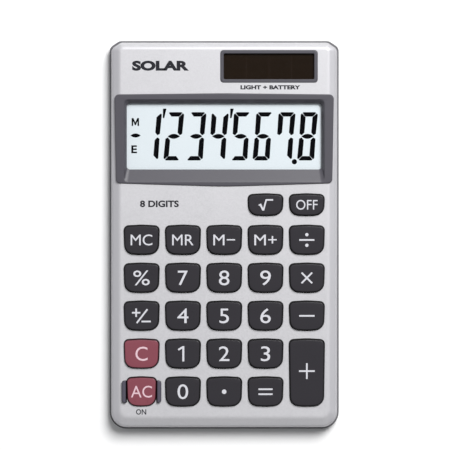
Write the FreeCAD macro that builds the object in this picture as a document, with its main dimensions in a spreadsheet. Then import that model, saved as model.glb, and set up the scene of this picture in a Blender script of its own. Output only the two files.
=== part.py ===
import FreeCAD, Part
import math
import os

import Sketcher

# A flat pocket calculator lying on its back: X to the right, Y towards the display end, Z up out of
# the keys. The origin is on the resting face, under the middle of the case. Millimetres throughout.
#
# Across, the case is five keys, four gaps and two margins wide. Along, it is the key field, the
# display and the solar cell, one above the other. Through, the board, mat, keys and face are stacked
# on the rear cover. Every piece takes its place from these stacks, so one changed size moves the rest.

SIZES = {
    # key field
    "key_width": 10.6, "key_height": 8.85, "key_gap_across": 1.95, "key_gap_along": 2.67,
    "key_taper": 0.28, "key_crown": 0.32, "key_top_radius": 1.3, "key_bottom_radius": 2.7,
    "key_bow": 2.0, "short_key_height": 6.55, "short_key_gap": 2.98, "power_key_width": 9.0,
    "power_key_drop": 0.2,
    "key_stand": 1.0, "key_clearance": 0.2, "key_edge": 0.35, "flange_rim": 0.55,
    "flange_thickness": 0.7, "flange_play": 0.05, "key_wall": 1.3, "key_cap": 1.2,
    "plunger_radius": 1.8, "plunger_reach": 0.25,
    # case
    "side_margin": 4.6, "bottom_margin": 7.2, "bezel_gap": 2.29, "solar_gap": 3.3,
    "top_margin": 3.05, "case_wall": 2.0, "face_thickness": 1.3, "parting_height": 3.0,
    "front_step": 0.45, "shoulder_inset": 1.05, "shoulder_drop": 0.85, "face_inset_side": 3.2,
    "face_inset_top": 2.35, "face_inset_bottom": 3.65, "bottom_corner": 5.2, "face_corner": 2.4,
    "top_chamfer_across": 3.0, "top_chamfer_along": 2.0, "top_chamfer_radius": 2.2,
    "shoulder_chamfer": 0.8,
    "face_chamfer": 0.25, "rear_chamfer_loss": 0.3, "floor_thickness": 1.2, "rear_edge": 1.5,
    "rear_edge_slope": 1.2, "lip_thickness": 0.8, "lip_height": 0.8, "lip_length": 88.0,
    "fit_gap": 0.05, "hole_play": 0.1, "recess_play": 0.15,
    # display
    "bezel_side_inset": 1.65, "bezel_taper": 0.5, "bezel_height": 28.3, "bezel_corner": 1.3,
    "bezel_bow_top": 0.35, "bezel_bow_bottom": 1.0, "bow_radius": 150.0, "bezel_stand": 0.4,
    "window_inset_side": 3.7, "window_inset_top": 2.95, "window_inset_bottom": 5.2,
    "window_corner": 0.65, "rim_wall_side": 0.8, "rim_wall_top": 1.05, "rim_lip_bottom": 1.55,
    "tub_margin": 1.1, "tub_depth": 0.3, "window_thickness": 0.8, "window_margin": 0.75,
    "glass_thickness": 0.7, "polariser_thickness": 0.2, "glass_gap": 0.05, "polariser_inset": 0.5,
    "ledge_width": 2.4, "zebra_width": 1.8, "zebra_inset": 2.4, "zebra_foot": 0.2, "window_play": 0.3,
    # solar cell
    "solar_width": 29.56, "solar_height": 9.85, "solar_inset_right": 6.6, "solar_corner": 1.0,
    "solar_inner_corner": 0.4,
    "solar_rim": 1.0, "solar_stand": 0.2, "solar_seat": 0.9, "solar_window_thickness": 0.5,
    "cell_thickness": 1.1, "lead_diameter": 0.8, "lead_spacing": 6.0, "lead_bend": 0.7,
    # board and mat
    "board_gap": 1.0, "board_thickness": 1.0, "board_clearance": 1.1, "board_foot": 1.05,
    "board_top_strip": 3.2, "mat_thickness": 0.5, "mat_margin": 0.5, "dome_height": 1.0,
    "dome_base_radius": 3.5, "dome_top_radius": 2.3, "dome_wall": 0.5, "dome_roof": 0.45,
    "pill_radius": 1.6, "pill_thickness": 0.25, "pin_radius": 0.75, "pin_reach": 0.6,
    "blob_radius": 4.5, "blob_crown": 3.24, "blob_height": 0.8, "capacitor_length": 3.2,
    "capacitor_width": 1.6, "capacitor_height": 1.6, "led_length": 2.0, "led_width": 1.25,
    "led_height": 0.8, "diode_length": 2.6, "diode_width": 1.4, "diode_height": 1.1,
    # screws
    "boss_radius": 1.6, "case_screw_inset": 4.8, "case_screw_radius": 0.75, "case_screw_head": 1.35,
    "case_screw_head_height": 0.6, "case_screw_sink": 0.3, "case_screw_length": 3.6,
    "seat_radius": 2.4, "board_boss_radius": 1.2, "board_screw_radius": 0.5,
    "board_screw_head": 1.1, "board_screw_head_height": 0.6, "board_screw_length": 2.6,
    "slot_width": 0.35, "slot_depth": 0.3, "slot_reach": 0.7, "strip_screw_inset": 0.2,
    # button cell and its contacts
    "cell_diameter": 11.6, "cell_height": 3.05, "can_height": 2.55, "cap_radius": 4.6,
    "gasket_radius": 5.1, "ring_wall": 0.8, "ring_play": 0.2, "cell_pad": 0.3, "strip_thickness": 0.2,
    "strip_width": 3.0, "ring_mouth_share": 0.6, "blade_foot": 0.2,
    # label and guard rails
    "label_width": 34.0, "label_height": 16.0, "label_corner": 0.65, "label_thickness": 0.12,
    "label_recess": 0.15,
    "guard_width": 1.3, "guard_length": 6.8, "guard_corner": 0.8,
}

# Keys in rows from the display down, with the column each sits in (0 is the left one).
KEY_ROWS = (
    {"square_root": 3, "off": 4},
    {"memory_clear": 0, "memory_recall": 1, "memory_minus": 2, "memory_plus": 3, "divide": 4},
    {"percent": 0, "seven": 1, "eight": 2, "nine": 3, "multiply": 4},
    {"change_sign": 0, "four": 1, "five": 2, "six": 3, "minus": 4},
    {"clear": 0, "one": 1, "two": 2, "three": 3},
    {"all_clear": 0, "zero": 1, "point": 2, "equals": 3, "plus": 4},
)
COLUMNS = 5
FULL_ROWS = len(KEY_ROWS) - 1

# Places on the board as columns, counted like the keys', and the rows that the pins stand between.
PIN_COLUMNS = (0.5, 2.5)
PIN_ROWS = (1.5, 4.5)
FOOT_SCREW_COLUMNS = (1.25, 2.75)
STRIP_SCREW_COLUMNS = (0, 2)
CAPACITOR_COLUMN, LED_COLUMN, DIODE_COLUMN = 0.6, 1.2, 1.6

# The rear cover's rim as a quarter ellipse: shares of its height, and of its inset left at that height.
RIM_STEPS = ((0, 1), (0.13, 0.5), (0.5, 0.134), (1, 0))

doc = FreeCAD.newDocument("PocketCalculator")
sheet = doc.addObject("Spreadsheet::Sheet", "Sizes")
for row, (alias, value) in enumerate(SIZES.items(), start=1):
    sheet.set(f"A{row}", alias.replace("_", " "))
    sheet.set(f"B{row}", str(value))
    sheet.setAlias(f"B{row}", alias)
layout = doc.addObject("App::VarSet", "Layout")
doc.recompute()


class Size:
    """A length that knows both its number and the formula that ties it to the sheet."""

    def __init__(self, number, formula):
        self.number = number
        self.formula = formula

    @staticmethod
    def of(value):
        return value if isinstance(value, Size) else Size(float(value), str(value))

    def join(self, other, sign, number):
        return Size(number, f"({self.formula} {sign} {Size.of(other).formula})")

    def __add__(self, other):
        return self.join(other, "+", self.number + Size.of(other).number)

    def __sub__(self, other):
        return self.join(other, "-", self.number - Size.of(other).number)

    def __mul__(self, factor):
        return self.join(factor, "*", self.number * Size.of(factor).number)

    def __truediv__(self, factor):
        return self.join(factor, "/", self.number / Size.of(factor).number)

    def __neg__(self):
        return Size(-self.number, f"(0 - {self.formula})")


def size(alias):
    """A driving size from the sheet."""
    return Size(float(sheet.get(alias)), f"Sizes.{alias}")


def larger(first, second):
    """Whichever of two sizes is larger."""
    return Size(max(first.number, second.number), f"max({first.formula}; {second.formula})")


def place(name, value):
    """Keep a worked-out size in the layout set under its own name."""
    layout.addProperty("App::PropertyFloat", name, "Layout", name.replace("_", " "))
    layout.setExpression(name, value.formula)
    return Size(value.number, f"Layout.{name}")


def bind(thing, prop, value):
    """Tie a property to a size."""
    thing.setExpression(prop, Size.of(value).formula)


# ---------------------------------------------------------------- drawing helpers

def new_body(label):
    """An empty body whose label is its file's name."""
    body = doc.addObject("PartDesign::Body", label)
    body.Label = label
    return body


def attach(body, feature):
    """Lay a sketch or a primitive on the body's own XY plane."""
    plane = next(part for part in body.Origin.OriginFeatures if part.Role == "XY_Plane")
    feature.AttachmentSupport = (plane, [""])
    feature.MapMode = "FlatFace"


def new_sketch(body, name, height):
    """A sketch on the body's own XY plane, raised to a height."""
    sketch = body.newObject("Sketcher::SketchObject", name)
    attach(body, sketch)
    bind(sketch, "AttachmentOffset.Base.z", height)
    return sketch


def draw_outline(sketch, corners):
    """Closed outline round (x, y, radius) corners, anticlockwise; a radius of 0 is a sharp corner."""
    count = len(corners)
    points = [FreeCAD.Vector(x.number, y.number, 0) for x, y, _ in corners]
    arrive, leave, arcs = {}, {}, {}
    for i, (_, _, radius) in enumerate(corners):
        back = (points[i - 1] - points[i]).normalize()
        ahead = (points[(i + 1) % count] - points[i]).normalize()
        half = back.getAngle(ahead) / 2
        length = Size.of(radius).number
        arrive[i] = points[i] + back * (length / math.tan(half))
        leave[i] = points[i] + ahead * (length / math.tan(half))
        if length:
            centre = points[i] + (back + ahead).normalize() * (length / math.sin(half))
            ends = [math.atan2(p.y - centre.y, p.x - centre.x) for p in (arrive[i], leave[i])]
            circle = Part.Circle(centre, FreeCAD.Vector(0, 0, 1), length)
            arcs[i] = sketch.addGeometry(Part.ArcOfCircle(circle, *ends), False)
    lines = {
        i: sketch.addGeometry(Part.LineSegment(leave[i], arrive[(i + 1) % count]), False)
        for i in range(count)
    }
    rules, ties = [], []
    for i, (x, y, radius) in enumerate(corners):
        before, after = lines[(i - 1) % count], lines[i]
        corner = sketch.addGeometry(Part.Point(points[i]), True)
        ties += [(len(rules), x), (len(rules) + 1, y)]
        rules.append(Sketcher.Constraint("DistanceX", -1, 1, corner, 1, points[i].x))
        rules.append(Sketcher.Constraint("DistanceY", -1, 1, corner, 1, points[i].y))
        if i in arcs:
            rules.append(Sketcher.Constraint("PointOnObject", corner, 1, before))
            rules.append(Sketcher.Constraint("PointOnObject", corner, 1, after))
            rules.append(Sketcher.Constraint("Tangent", before, 2, arcs[i], 1))
            rules.append(Sketcher.Constraint("Tangent", arcs[i], 2, after, 1))
            ties.append((len(rules), radius))
            rules.append(Sketcher.Constraint("Radius", arcs[i], radius.number))
        else:
            rules.append(Sketcher.Constraint("Coincident", before, 2, after, 1))
            rules.append(Sketcher.Constraint("Coincident", corner, 1, after, 1))
    first = sketch.ConstraintCount
    sketch.addConstraint(rules)
    for index, value in ties:
        bind(sketch, f"Constraints[{first + index}]", value)


def draw_circle(sketch, x, y, radius):
    """A circle whose centre and radius are tied to sizes."""
    centre = FreeCAD.Vector(x.number, y.number, 0)
    ring = sketch.addGeometry(Part.Circle(centre, FreeCAD.Vector(0, 0, 1), radius.number), False)
    first = sketch.ConstraintCount
    sketch.addConstraint([
        Sketcher.Constraint("DistanceX", -1, 1, ring, 3, centre.x),
        Sketcher.Constraint("DistanceY", -1, 1, ring, 3, centre.y),
        Sketcher.Constraint("Radius", ring, radius.number),
    ])
    for index, value in enumerate((x, y, radius)):
        bind(sketch, f"Constraints[{first + index}]", value)


def rectangle(left, right, low, high, radius=0):
    """Corners of an upright rectangle, all rounded alike."""
    return [(left, low, radius), (right, low, radius), (right, high, radius), (left, high, radius)]


def outline_sketch(body, name, height, corners):
    """A sketch that holds one outline."""
    sketch = new_sketch(body, name, height)
    draw_outline(sketch, corners)
    return sketch


def circle_sketch(body, name, height, circles):
    """A sketch that holds circles given as (x, y, radius)."""
    sketch = new_sketch(body, name, height)
    for x, y, radius in circles:
        draw_circle(sketch, x, y, radius)
    return sketch


def pad(body, sketch, length, down=False):
    """Raise a sketch into solid, upwards unless told otherwise."""
    feature = body.newObject("PartDesign::Pad", f"{sketch.Name}Pad")
    feature.Profile = sketch
    feature.Reversed = down
    feature.Refine = False
    bind(feature, "Length", length)
    return feature


def pocket(body, sketch, depth):
    """Cut a sketch upwards by a depth."""
    feature = body.newObject("PartDesign::Pocket", f"{sketch.Name}Pocket")
    feature.Profile = sketch
    feature.Reversed = True
    feature.Refine = False
    bind(feature, "Length", depth)
    return feature


def loft(body, kind, profiles):
    """Ruled loft through sketches, added or taken away."""
    feature = body.newObject(f"PartDesign::{kind}Loft", f"{profiles[0].Name}Loft")
    feature.Profile = profiles[0]
    feature.Sections = profiles[1:]
    feature.Ruled = True
    return feature


def soften(body, feature, height, radius):
    """Fillet the edges of a feature that lie at one height."""
    feature.recompute(True)
    edges = [
        f"Edge{number}"
        for number, edge in enumerate(feature.Shape.Edges, start=1)
        if all(abs(vertex.Point.z - height.number) < 1e-4 for vertex in edge.Vertexes)
    ]
    fillet = body.newObject("PartDesign::Fillet", f"{feature.Name}Fillet")
    fillet.Base = (feature, edges)
    bind(fillet, "Radius", radius)
    return fillet


def cylinder(name, x, y, low, radius, height):
    """Part cylinder that stands at a place."""
    solid = doc.addObject("Part::Cylinder", name)
    bind(solid, "Radius", radius)
    bind(solid, "Height", height)
    move(solid, x, y, low)
    return solid


def block(name, low, high):
    """Part box between two corners."""
    solid = doc.addObject("Part::Box", name)
    for side, start, end in zip(("Length", "Width", "Height"), low, high):
        bind(solid, side, end - start)
    move(solid, *low)
    return solid


def move(solid, x, y, z):
    """Tie an object's place to three sizes."""
    for axis, value in zip("xyz", (x, y, z)):
        bind(solid, f"Placement.Base.{axis}", value)


def cut(name, base, tool):
    """One solid less another."""
    result = doc.addObject("Part::Cut", name)
    result.Base = base
    result.Tool = tool
    result.Label = name
    return result


def fuse(name, solids):
    """Several solids made one."""
    result = doc.addObject("Part::MultiFuse", name)
    result.Shapes = solids
    result.Label = name
    return result


def group(name, solids):
    """Alike solids that stay separate."""
    result = doc.addObject("Part::Compound", name)
    result.Links = solids
    result.Label = name
    return result


# ---------------------------------------------------------------- heights, from the rear cover up

ZERO = Size(0.0, "0")
GAP = size("fit_gap")
PARTING = size("parting_height")
FLOOR = size("floor_thickness")
BOARD_LOW = place("board_low", FLOOR + size("board_gap"))
BOARD_TOP = place("board_top", BOARD_LOW + size("board_thickness"))
MAT_TOP = place("mat_top", BOARD_TOP + size("mat_thickness"))
DOME_TOP = place("dome_top", MAT_TOP + size("dome_height"))
FLANGE_LOW = place("flange_low", DOME_TOP + size("plunger_reach"))
FLANGE_TOP = place("flange_top", FLANGE_LOW + size("flange_thickness"))
CEILING = place("ceiling", FLANGE_TOP + size("flange_play"))
FACE = place("face", CEILING + size("face_thickness"))
SHOULDER = place("shoulder", FACE - size("shoulder_drop"))
KEY_TOP = place("key_top", FACE + size("key_stand"))
REFLECTOR_LOW = place("reflector_low", BOARD_TOP + size("glass_gap"))
REAR_GLASS_LOW = place("rear_glass_low", REFLECTOR_LOW + size("polariser_thickness"))
FRONT_GLASS_LOW = place("front_glass_low", REAR_GLASS_LOW + size("glass_thickness"))
POLARISER_LOW = place("polariser_low", FRONT_GLASS_LOW + size("glass_thickness"))
WINDOW_LOW = place("window_low", POLARISER_LOW + size("polariser_thickness") + size("glass_gap"))
WINDOW_TOP = place("window_top", WINDOW_LOW + size("window_thickness"))
BEZEL_SEAT = place("bezel_seat", WINDOW_TOP + size("tub_depth"))
BEZEL_TOP = place("bezel_top", FACE + size("bezel_stand"))
SOLAR_SEAT = place("solar_seat_height", FACE + size("solar_stand") - size("solar_seat"))
BOSS_FOOT = place("boss_foot", FLOOR + size("board_gap"))
CELL_LOW = place("cell_low", FLOOR + size("cell_pad"))
CELL_TOP = place("cell_top", CELL_LOW + size("cell_height"))

# ---------------------------------------------------------------- places across and along the case

COLUMN_PITCH = place("column_pitch", size("key_width") + size("key_gap_across"))
ROW_PITCH = place("row_pitch", size("key_height") + size("key_gap_along"))
WIDTH = place(
    "case_width", COLUMN_PITCH * (COLUMNS - 1) + size("key_width") + size("side_margin") * 2
)
KEY_FIELD = place(
    "key_field",
    ROW_PITCH * (FULL_ROWS - 1) + size("key_height") + size("short_key_gap") + size("short_key_height"),
)
RING_RADIUS = place("ring_radius", size("cell_diameter") / 2 + size("ring_play"))
TOP_ZONE = place(
    "top_zone",
    larger(
        size("solar_gap") + size("solar_height") + size("top_margin"),
        size("board_top_strip") + size("window_margin") - size("window_inset_top") + GAP
        + size("strip_thickness") + size("cell_diameter") + size("ring_play") + size("ring_wall")
        + size("case_wall"),
    ),
)
LENGTH = place(
    "case_length",
    size("bottom_margin") + KEY_FIELD + size("bezel_gap") + size("bezel_height") + TOP_ZONE,
)
RIGHT = place("case_right", WIDTH / 2)
TOP = place("case_top", LENGTH / 2)
INNER_RIGHT = place("cavity_right", RIGHT - size("case_wall"))
INNER_TOP = place("cavity_top", TOP - size("case_wall"))
LAST_ROW = place("last_row", size("bottom_margin") + size("key_height") / 2 - TOP)
BEZEL_LOW = place("bezel_low", size("bottom_margin") + KEY_FIELD + size("bezel_gap") - TOP)
BEZEL_HIGH = place("bezel_high", BEZEL_LOW + size("bezel_height"))
BEZEL_RIGHT = place("bezel_right", RIGHT - size("bezel_side_inset"))
WINDOW_RIGHT = place("window_right", BEZEL_RIGHT - size("window_inset_side"))
WINDOW_BOTTOM = place("window_bottom", BEZEL_LOW + size("window_inset_bottom"))
WINDOW_UPPER = place("window_upper", BEZEL_HIGH - size("window_inset_top"))
TUB_RIGHT = place("tub_right", WINDOW_RIGHT + size("tub_margin"))
TUB_LOW = place("tub_low", WINDOW_BOTTOM - size("tub_margin"))
TUB_HIGH = place("tub_high", WINDOW_UPPER + size("tub_margin"))
GLASS_RIGHT = place("glass_right", WINDOW_RIGHT + size("window_margin"))
GLASS_LOW = place("glass_low", WINDOW_BOTTOM - size("window_margin"))
GLASS_HIGH = place("glass_high", WINDOW_UPPER + size("window_margin"))
BOARD_RIGHT = place("board_right", INNER_RIGHT - size("board_clearance"))
BOARD_BOTTOM = place("board_bottom", size("board_foot") - INNER_TOP)
BOARD_HIGH = place("board_high", GLASS_HIGH + size("board_top_strip"))
SOLAR_RIGHT = place("solar_right", RIGHT - size("solar_inset_right"))
SOLAR_LEFT = place("solar_left", SOLAR_RIGHT - size("solar_width"))
SOLAR_LOW = place("solar_low", BEZEL_HIGH + size("solar_gap"))
SOLAR_HIGH = place("solar_high", SOLAR_LOW + size("solar_height"))
CELL_X = place("cell_x", (SOLAR_LEFT - INNER_RIGHT) / 2)
CELL_Y = place("cell_y", BOARD_HIGH + size("strip_thickness") + GAP + size("cell_diameter") / 2)
SCREW_X = place("case_screw_x", RIGHT - size("case_screw_inset"))
SCREW_Y = place("case_screw_y", TOP - size("case_screw_inset"))
STRIP_Y = place("board_screw_top_y", (GLASS_HIGH + BOARD_HIGH) / 2 + GAP)
STRIP_X = place("board_screw_top_x", GLASS_RIGHT - size("strip_screw_inset"))
FOOT_Y = place("board_screw_foot_y", BOARD_BOTTOM + size("board_screw_head") + size("recess_play"))
FIRST_ROW = place("first_row", LAST_ROW + ROW_PITCH * (FULL_ROWS - 1))
SHORT_ROW = place(
    "short_row",
    FIRST_ROW + size("key_height") / 2 + size("short_key_gap") + size("short_key_height") / 2,
)
MAT_STEP = place("mat_step", FIRST_ROW + ROW_PITCH / 2)


def column_x(column):
    return COLUMN_PITCH * (column - (COLUMNS - 1) / 2)


def row_y(row):
    """Middle of a row; row 0 is the short one beside the display."""
    return SHORT_ROW if row == 0 else LAST_ROW + ROW_PITCH * (FULL_ROWS - row)


class Key:
    """Where a key sits and how large it is."""

    def __init__(self, name, row, column):
        self.label = f"key_{name}"
        self.row = row
        self.x = column_x(column)
        self.y = row_y(row)
        self.width = size("power_key_width") if name == "all_clear" else size("key_width")
        self.height = size("short_key_height") if row == 0 else size("key_height")
        self.top = KEY_TOP - size("power_key_drop") if name == "all_clear" else KEY_TOP
        if name == "plus":
            self.height = size("key_height") + ROW_PITCH
            self.y = row_y(row) + ROW_PITCH / 2

    def outline(self, grow, x=ZERO, y=ZERO):
        """Keystone outline grown by a clearance: crowned ends, narrower and rounder at the near end."""
        side = self.width / 2 + grow
        near = side - size("key_taper")
        end = self.height / 2 + grow
        shoulder = end - size("key_crown")
        bend = self.width * size("key_bow")
        small, large = size("key_top_radius") + grow, size("key_bottom_radius") + grow
        return [
            (x - near, y - shoulder, large), (x, y - end, bend),
            (x + near, y - shoulder, large), (x + side, y + shoulder, small),
            (x, y + end, bend), (x - side, y + shoulder, small),
        ]


KEYS = [Key(name, row, column) for row, keys in enumerate(KEY_ROWS) for name, column in keys.items()]
POWER_KEY = next(key for key in KEYS if key.label == "key_all_clear")

CASE_SCREWS = [(SCREW_X * side, SCREW_Y * end) for side in (-1, 1) for end in (-1, 1)]
BOARD_SCREWS = [
    (-STRIP_X, STRIP_Y), (STRIP_X, STRIP_Y),
    *((column_x(column), SHORT_ROW) for column in STRIP_SCREW_COLUMNS),
    *((column_x(column), FOOT_Y) for column in FOOT_SCREW_COLUMNS),
]
PINS = [(column_x(column), row_y(row)) for row in PIN_ROWS for column in PIN_COLUMNS]


# ---------------------------------------------------------------- case

def case_outline(side_inset, top_inset, bottom_inset, radius, share):
    """Case outline drawn in by an inset: round lower corners, clipped upper corners."""
    x, high, low = RIGHT - side_inset, TOP - top_inset, bottom_inset - TOP
    across, along = size("top_chamfer_across") * share, size("top_chamfer_along") * share
    clip = size("top_chamfer_radius") * share
    return [
        (-x, low, radius), (x, low, radius), (x, high - along, clip),
        (x - across, high, clip), (across - x, high, clip), (-x, high - along, clip),
    ]


def bezel_outline(grow):
    """Display frame outline: narrower at the keys, with both long edges bowed outwards."""
    far, near = BEZEL_RIGHT + grow, BEZEL_RIGHT - size("bezel_taper") + grow
    high, low = BEZEL_HIGH + grow, BEZEL_LOW - grow
    high_end, low_end = high - size("bezel_bow_top"), low + size("bezel_bow_bottom")
    corner, bow = size("bezel_corner") + grow, size("bow_radius")
    return [
        (-near, low_end, corner), (ZERO, low, bow), (near, low_end, corner),
        (far, high_end, corner), (ZERO, high, bow), (-far, high_end, corner),
    ]


def solar_outline(shrink, corner):
    """Solar frame outline drawn in by a distance."""
    left, right = SOLAR_LEFT + shrink, SOLAR_RIGHT - shrink
    return rectangle(left, right, SOLAR_LOW + shrink, SOLAR_HIGH - shrink, corner)


def tub_outline(shrink):
    """Well in the face that the display window sits in, drawn in by a distance."""
    right = TUB_RIGHT - shrink
    return rectangle(-right, right, TUB_LOW + shrink, TUB_HIGH - shrink, size("window_corner"))


def guard_outline(side):
    """Guard rail beside the all-clear key: -1 on its left, 1 on its right."""
    inner = POWER_KEY.width / 2 + size("key_clearance")
    near, far = POWER_KEY.x + inner * side, POWER_KEY.x + (inner + size("guard_width")) * side
    low, high = POWER_KEY.y - size("guard_length") / 2, POWER_KEY.y + size("guard_length") / 2
    corner = size("guard_corner")
    if side > 0:
        return [(near, low, 0), (far, low, corner), (far, high, corner), (near, high, 0)]
    return [(far, low, corner), (near, low, 0), (near, high, 0), (far, high, corner)]


def build_front_case():
    """Top shell: sloped sides, bevelled face, openings, and the bosses that carry the board."""
    body = new_body("front_case")
    corner, inset = size("bottom_corner"), size("shoulder_inset")
    step = size("front_step")
    foot = case_outline(step, step, step, corner - step, 1)
    shoulder = case_outline(inset, inset, inset, corner - inset, size("shoulder_chamfer"))
    face = case_outline(
        size("face_inset_side"), size("face_inset_top"), size("face_inset_bottom"),
        size("face_corner"), size("face_chamfer"),
    )
    loft(body, "Additive", [
        outline_sketch(body, name, height, corners) for name, height, corners in (
            ("CaseFoot", PARTING, foot), ("CaseShoulder", SHOULDER, shoulder), ("CaseFace", FACE, face))
    ])
    inside = rectangle(-INNER_RIGHT, INNER_RIGHT, -INNER_TOP, INNER_TOP, size("face_corner"))
    pocket(body, outline_sketch(body, "CaseInside", PARTING, inside), CEILING - PARTING)

    seat = outline_sketch(body, "BezelSeat", BEZEL_SEAT, bezel_outline(GAP))
    pocket(body, seat, BEZEL_TOP - BEZEL_SEAT)
    pocket(body, outline_sketch(body, "DisplayWell", PARTING, tub_outline(ZERO)), BEZEL_TOP - PARTING)
    seat = outline_sketch(body, "SolarSeat", SOLAR_SEAT, solar_outline(-GAP, size("solar_corner")))
    pocket(body, seat, BEZEL_TOP - SOLAR_SEAT)
    well = solar_outline(size("solar_rim"), size("solar_inner_corner"))
    pocket(body, outline_sketch(body, "SolarWell", PARTING, well), BEZEL_TOP - PARTING)
    for row in range(len(KEY_ROWS)):
        holes = new_sketch(body, f"KeyHolesRow{row}", PARTING)
        for key in KEYS:
            if key.row == row:
                draw_outline(holes, key.outline(size("key_clearance"), key.x, key.y))
        pocket(body, holes, FACE - PARTING)
    for side, name in ((-1, "GuardSlotLeft"), (1, "GuardSlotRight")):
        pocket(body, outline_sketch(body, name, PARTING, guard_outline(side)), FACE - PARTING)

    bosses = [(x, y, size("boss_radius")) for x, y in CASE_SCREWS]
    pad(body, circle_sketch(body, "CaseBosses", CEILING, bosses), CEILING - BOSS_FOOT, down=True)
    bosses = [(x, y, size("board_boss_radius")) for x, y in BOARD_SCREWS]
    pad(body, circle_sketch(body, "BoardBosses", CEILING, bosses), CEILING - BOARD_TOP, down=True)
    pins = [(x, y, size("pin_radius")) for x, y in PINS]
    depth = CEILING - BOARD_TOP + size("pin_reach")
    pad(body, circle_sketch(body, "LocatingPins", CEILING, pins), depth, down=True)
    ring = [(CELL_X, CELL_Y, RING_RADIUS + size("ring_wall")), (CELL_X, CELL_Y, RING_RADIUS)]
    pad(body, circle_sketch(body, "CellRing", CEILING, ring), CEILING - CELL_LOW, down=True)
    mouth = rectangle(
        CELL_X - size("strip_width") * 2, CELL_X + size("strip_width") * 2,
        BOARD_HIGH - size("ring_wall") * 2, CELL_Y - RING_RADIUS * size("ring_mouth_share"),
    )
    pocket(body, outline_sketch(body, "CellRingMouth", CELL_LOW, mouth), CEILING - CELL_LOW)
    pilots = [(x, y, size("case_screw_radius")) for x, y in CASE_SCREWS]
    pocket(body, circle_sketch(body, "CasePilots", BOSS_FOOT, pilots), size("case_screw_length"))
    pilots = [(x, y, size("board_screw_radius")) for x, y in BOARD_SCREWS]
    depth = size("board_screw_length") - size("board_thickness")
    pocket(body, circle_sketch(body, "BoardPilots", BOARD_TOP, pilots), depth)
    return body


def build_rear_cover():
    """Bottom shell: rounded rim, locating lips, screw seats and a shallow label recess."""
    body = new_body("rear_cover")
    levels = [(size("rear_edge") * height, share) for height, share in RIM_STEPS] + [(PARTING, 0)]
    rings = []
    for number, (height, share) in enumerate(levels):
        inset = size("rear_edge_slope") * share
        chamfer = Size.of(1) - size("rear_chamfer_loss") * share
        ring = case_outline(inset, inset, inset, size("bottom_corner") - inset, chamfer)
        rings.append(outline_sketch(body, f"CoverRing{number}", height, ring))
    loft(body, "Additive", rings)
    inside = rectangle(-INNER_RIGHT, INNER_RIGHT, -INNER_TOP, INNER_TOP, size("face_corner"))
    pocket(body, outline_sketch(body, "CoverInside", FLOOR, inside), PARTING - FLOOR)
    for side in (-1, 1):
        outer = INNER_RIGHT - GAP
        inner = outer - size("lip_thickness")
        left, right = (inner, outer) if side > 0 else (-outer, -inner)
        bar = rectangle(left, right, -(size("lip_length") / 2), size("lip_length") / 2)
        sketch = outline_sketch(body, "LipRight" if side > 0 else "LipLeft", FLOOR, bar)
        pad(body, sketch, PARTING + size("lip_height") - FLOOR)
    seats = [(x, y, size("seat_radius")) for x, y in CASE_SCREWS]
    pad(body, circle_sketch(body, "ScrewSeats", FLOOR, seats), BOSS_FOOT - FLOOR)
    rest = [(CELL_X, CELL_Y, size("cap_radius") / 2)]
    pad(body, circle_sketch(body, "CellRest", FLOOR, rest), size("cell_pad"))
    sinks = [(x, y, size("case_screw_head") + size("recess_play")) for x, y in CASE_SCREWS]
    depth = size("case_screw_sink") + size("case_screw_head_height")
    pocket(body, circle_sketch(body, "ScrewSinks", ZERO, sinks), depth)
    holes = [(x, y, size("case_screw_radius") + size("hole_play")) for x, y in CASE_SCREWS]
    pocket(body, circle_sketch(body, "ScrewHoles", ZERO, holes), BOSS_FOOT)
    half_width = size("label_width") / 2 + size("hole_play")
    half_height = size("label_height") / 2 + size("hole_play")
    recess = rectangle(-half_width, half_width, -half_height, half_height, size("label_corner"))
    pocket(body, outline_sketch(body, "LabelRecess", ZERO, recess), size("label_recess"))
    return body


def build_rear_label():
    """Blank foil label in the recess of the rear cover."""
    body = new_body("rear_label")
    half_width, half_height = size("label_width") / 2, size("label_height") / 2
    shape = rectangle(-half_width, half_width, -half_height, half_height, size("label_corner"))
    low = size("label_recess") - size("label_thickness")
    pad(body, outline_sketch(body, "LabelOutline", low, shape), size("label_thickness"))
    return body


def build_guard_rail(label, side):
    """Guard rail bonded into its slot, standing as high as the keys."""
    body = new_body(label)
    outline = outline_sketch(body, f"{label}_outline", CEILING, guard_outline(side))
    rail = pad(body, outline, KEY_TOP - CEILING)
    soften(body, rail, KEY_TOP, size("key_edge"))
    return body


# ---------------------------------------------------------------- display and solar cell

def build_display_bezel():
    """Raised display frame with a sloping well down to the window."""
    body = new_body("display_bezel")
    frame = outline_sketch(body, "BezelOutline", BEZEL_SEAT, bezel_outline(ZERO))
    pad(body, frame, BEZEL_TOP - BEZEL_SEAT)
    tub = outline_sketch(body, "BezelTub", WINDOW_TOP, tub_outline(GAP))
    pad(body, tub, BEZEL_SEAT - WINDOW_TOP)
    well = outline_sketch(body, "WellFoot", WINDOW_TOP, rectangle(
        -WINDOW_RIGHT, WINDOW_RIGHT, WINDOW_BOTTOM, WINDOW_UPPER, size("window_corner")))
    side = WINDOW_RIGHT + size("rim_wall_side")
    rim = outline_sketch(body, "WellRim", BEZEL_TOP, rectangle(
        -side, side, BEZEL_LOW + size("rim_lip_bottom"), WINDOW_UPPER + size("rim_wall_top"),
        size("window_corner")))
    loft(body, "Subtractive", [well, rim])
    return body


def build_plate(label, low, thickness, shape):
    """Flat plate with one outline."""
    body = new_body(label)
    pad(body, outline_sketch(body, f"{label}_outline", low, shape), thickness)
    return body


def display_plate(label, low, thickness, side, bottom, high, corner=0):
    """Flat plate of the display stack, centred across the case."""
    return build_plate(label, low, thickness, rectangle(-side, side, bottom, high, corner))


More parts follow.
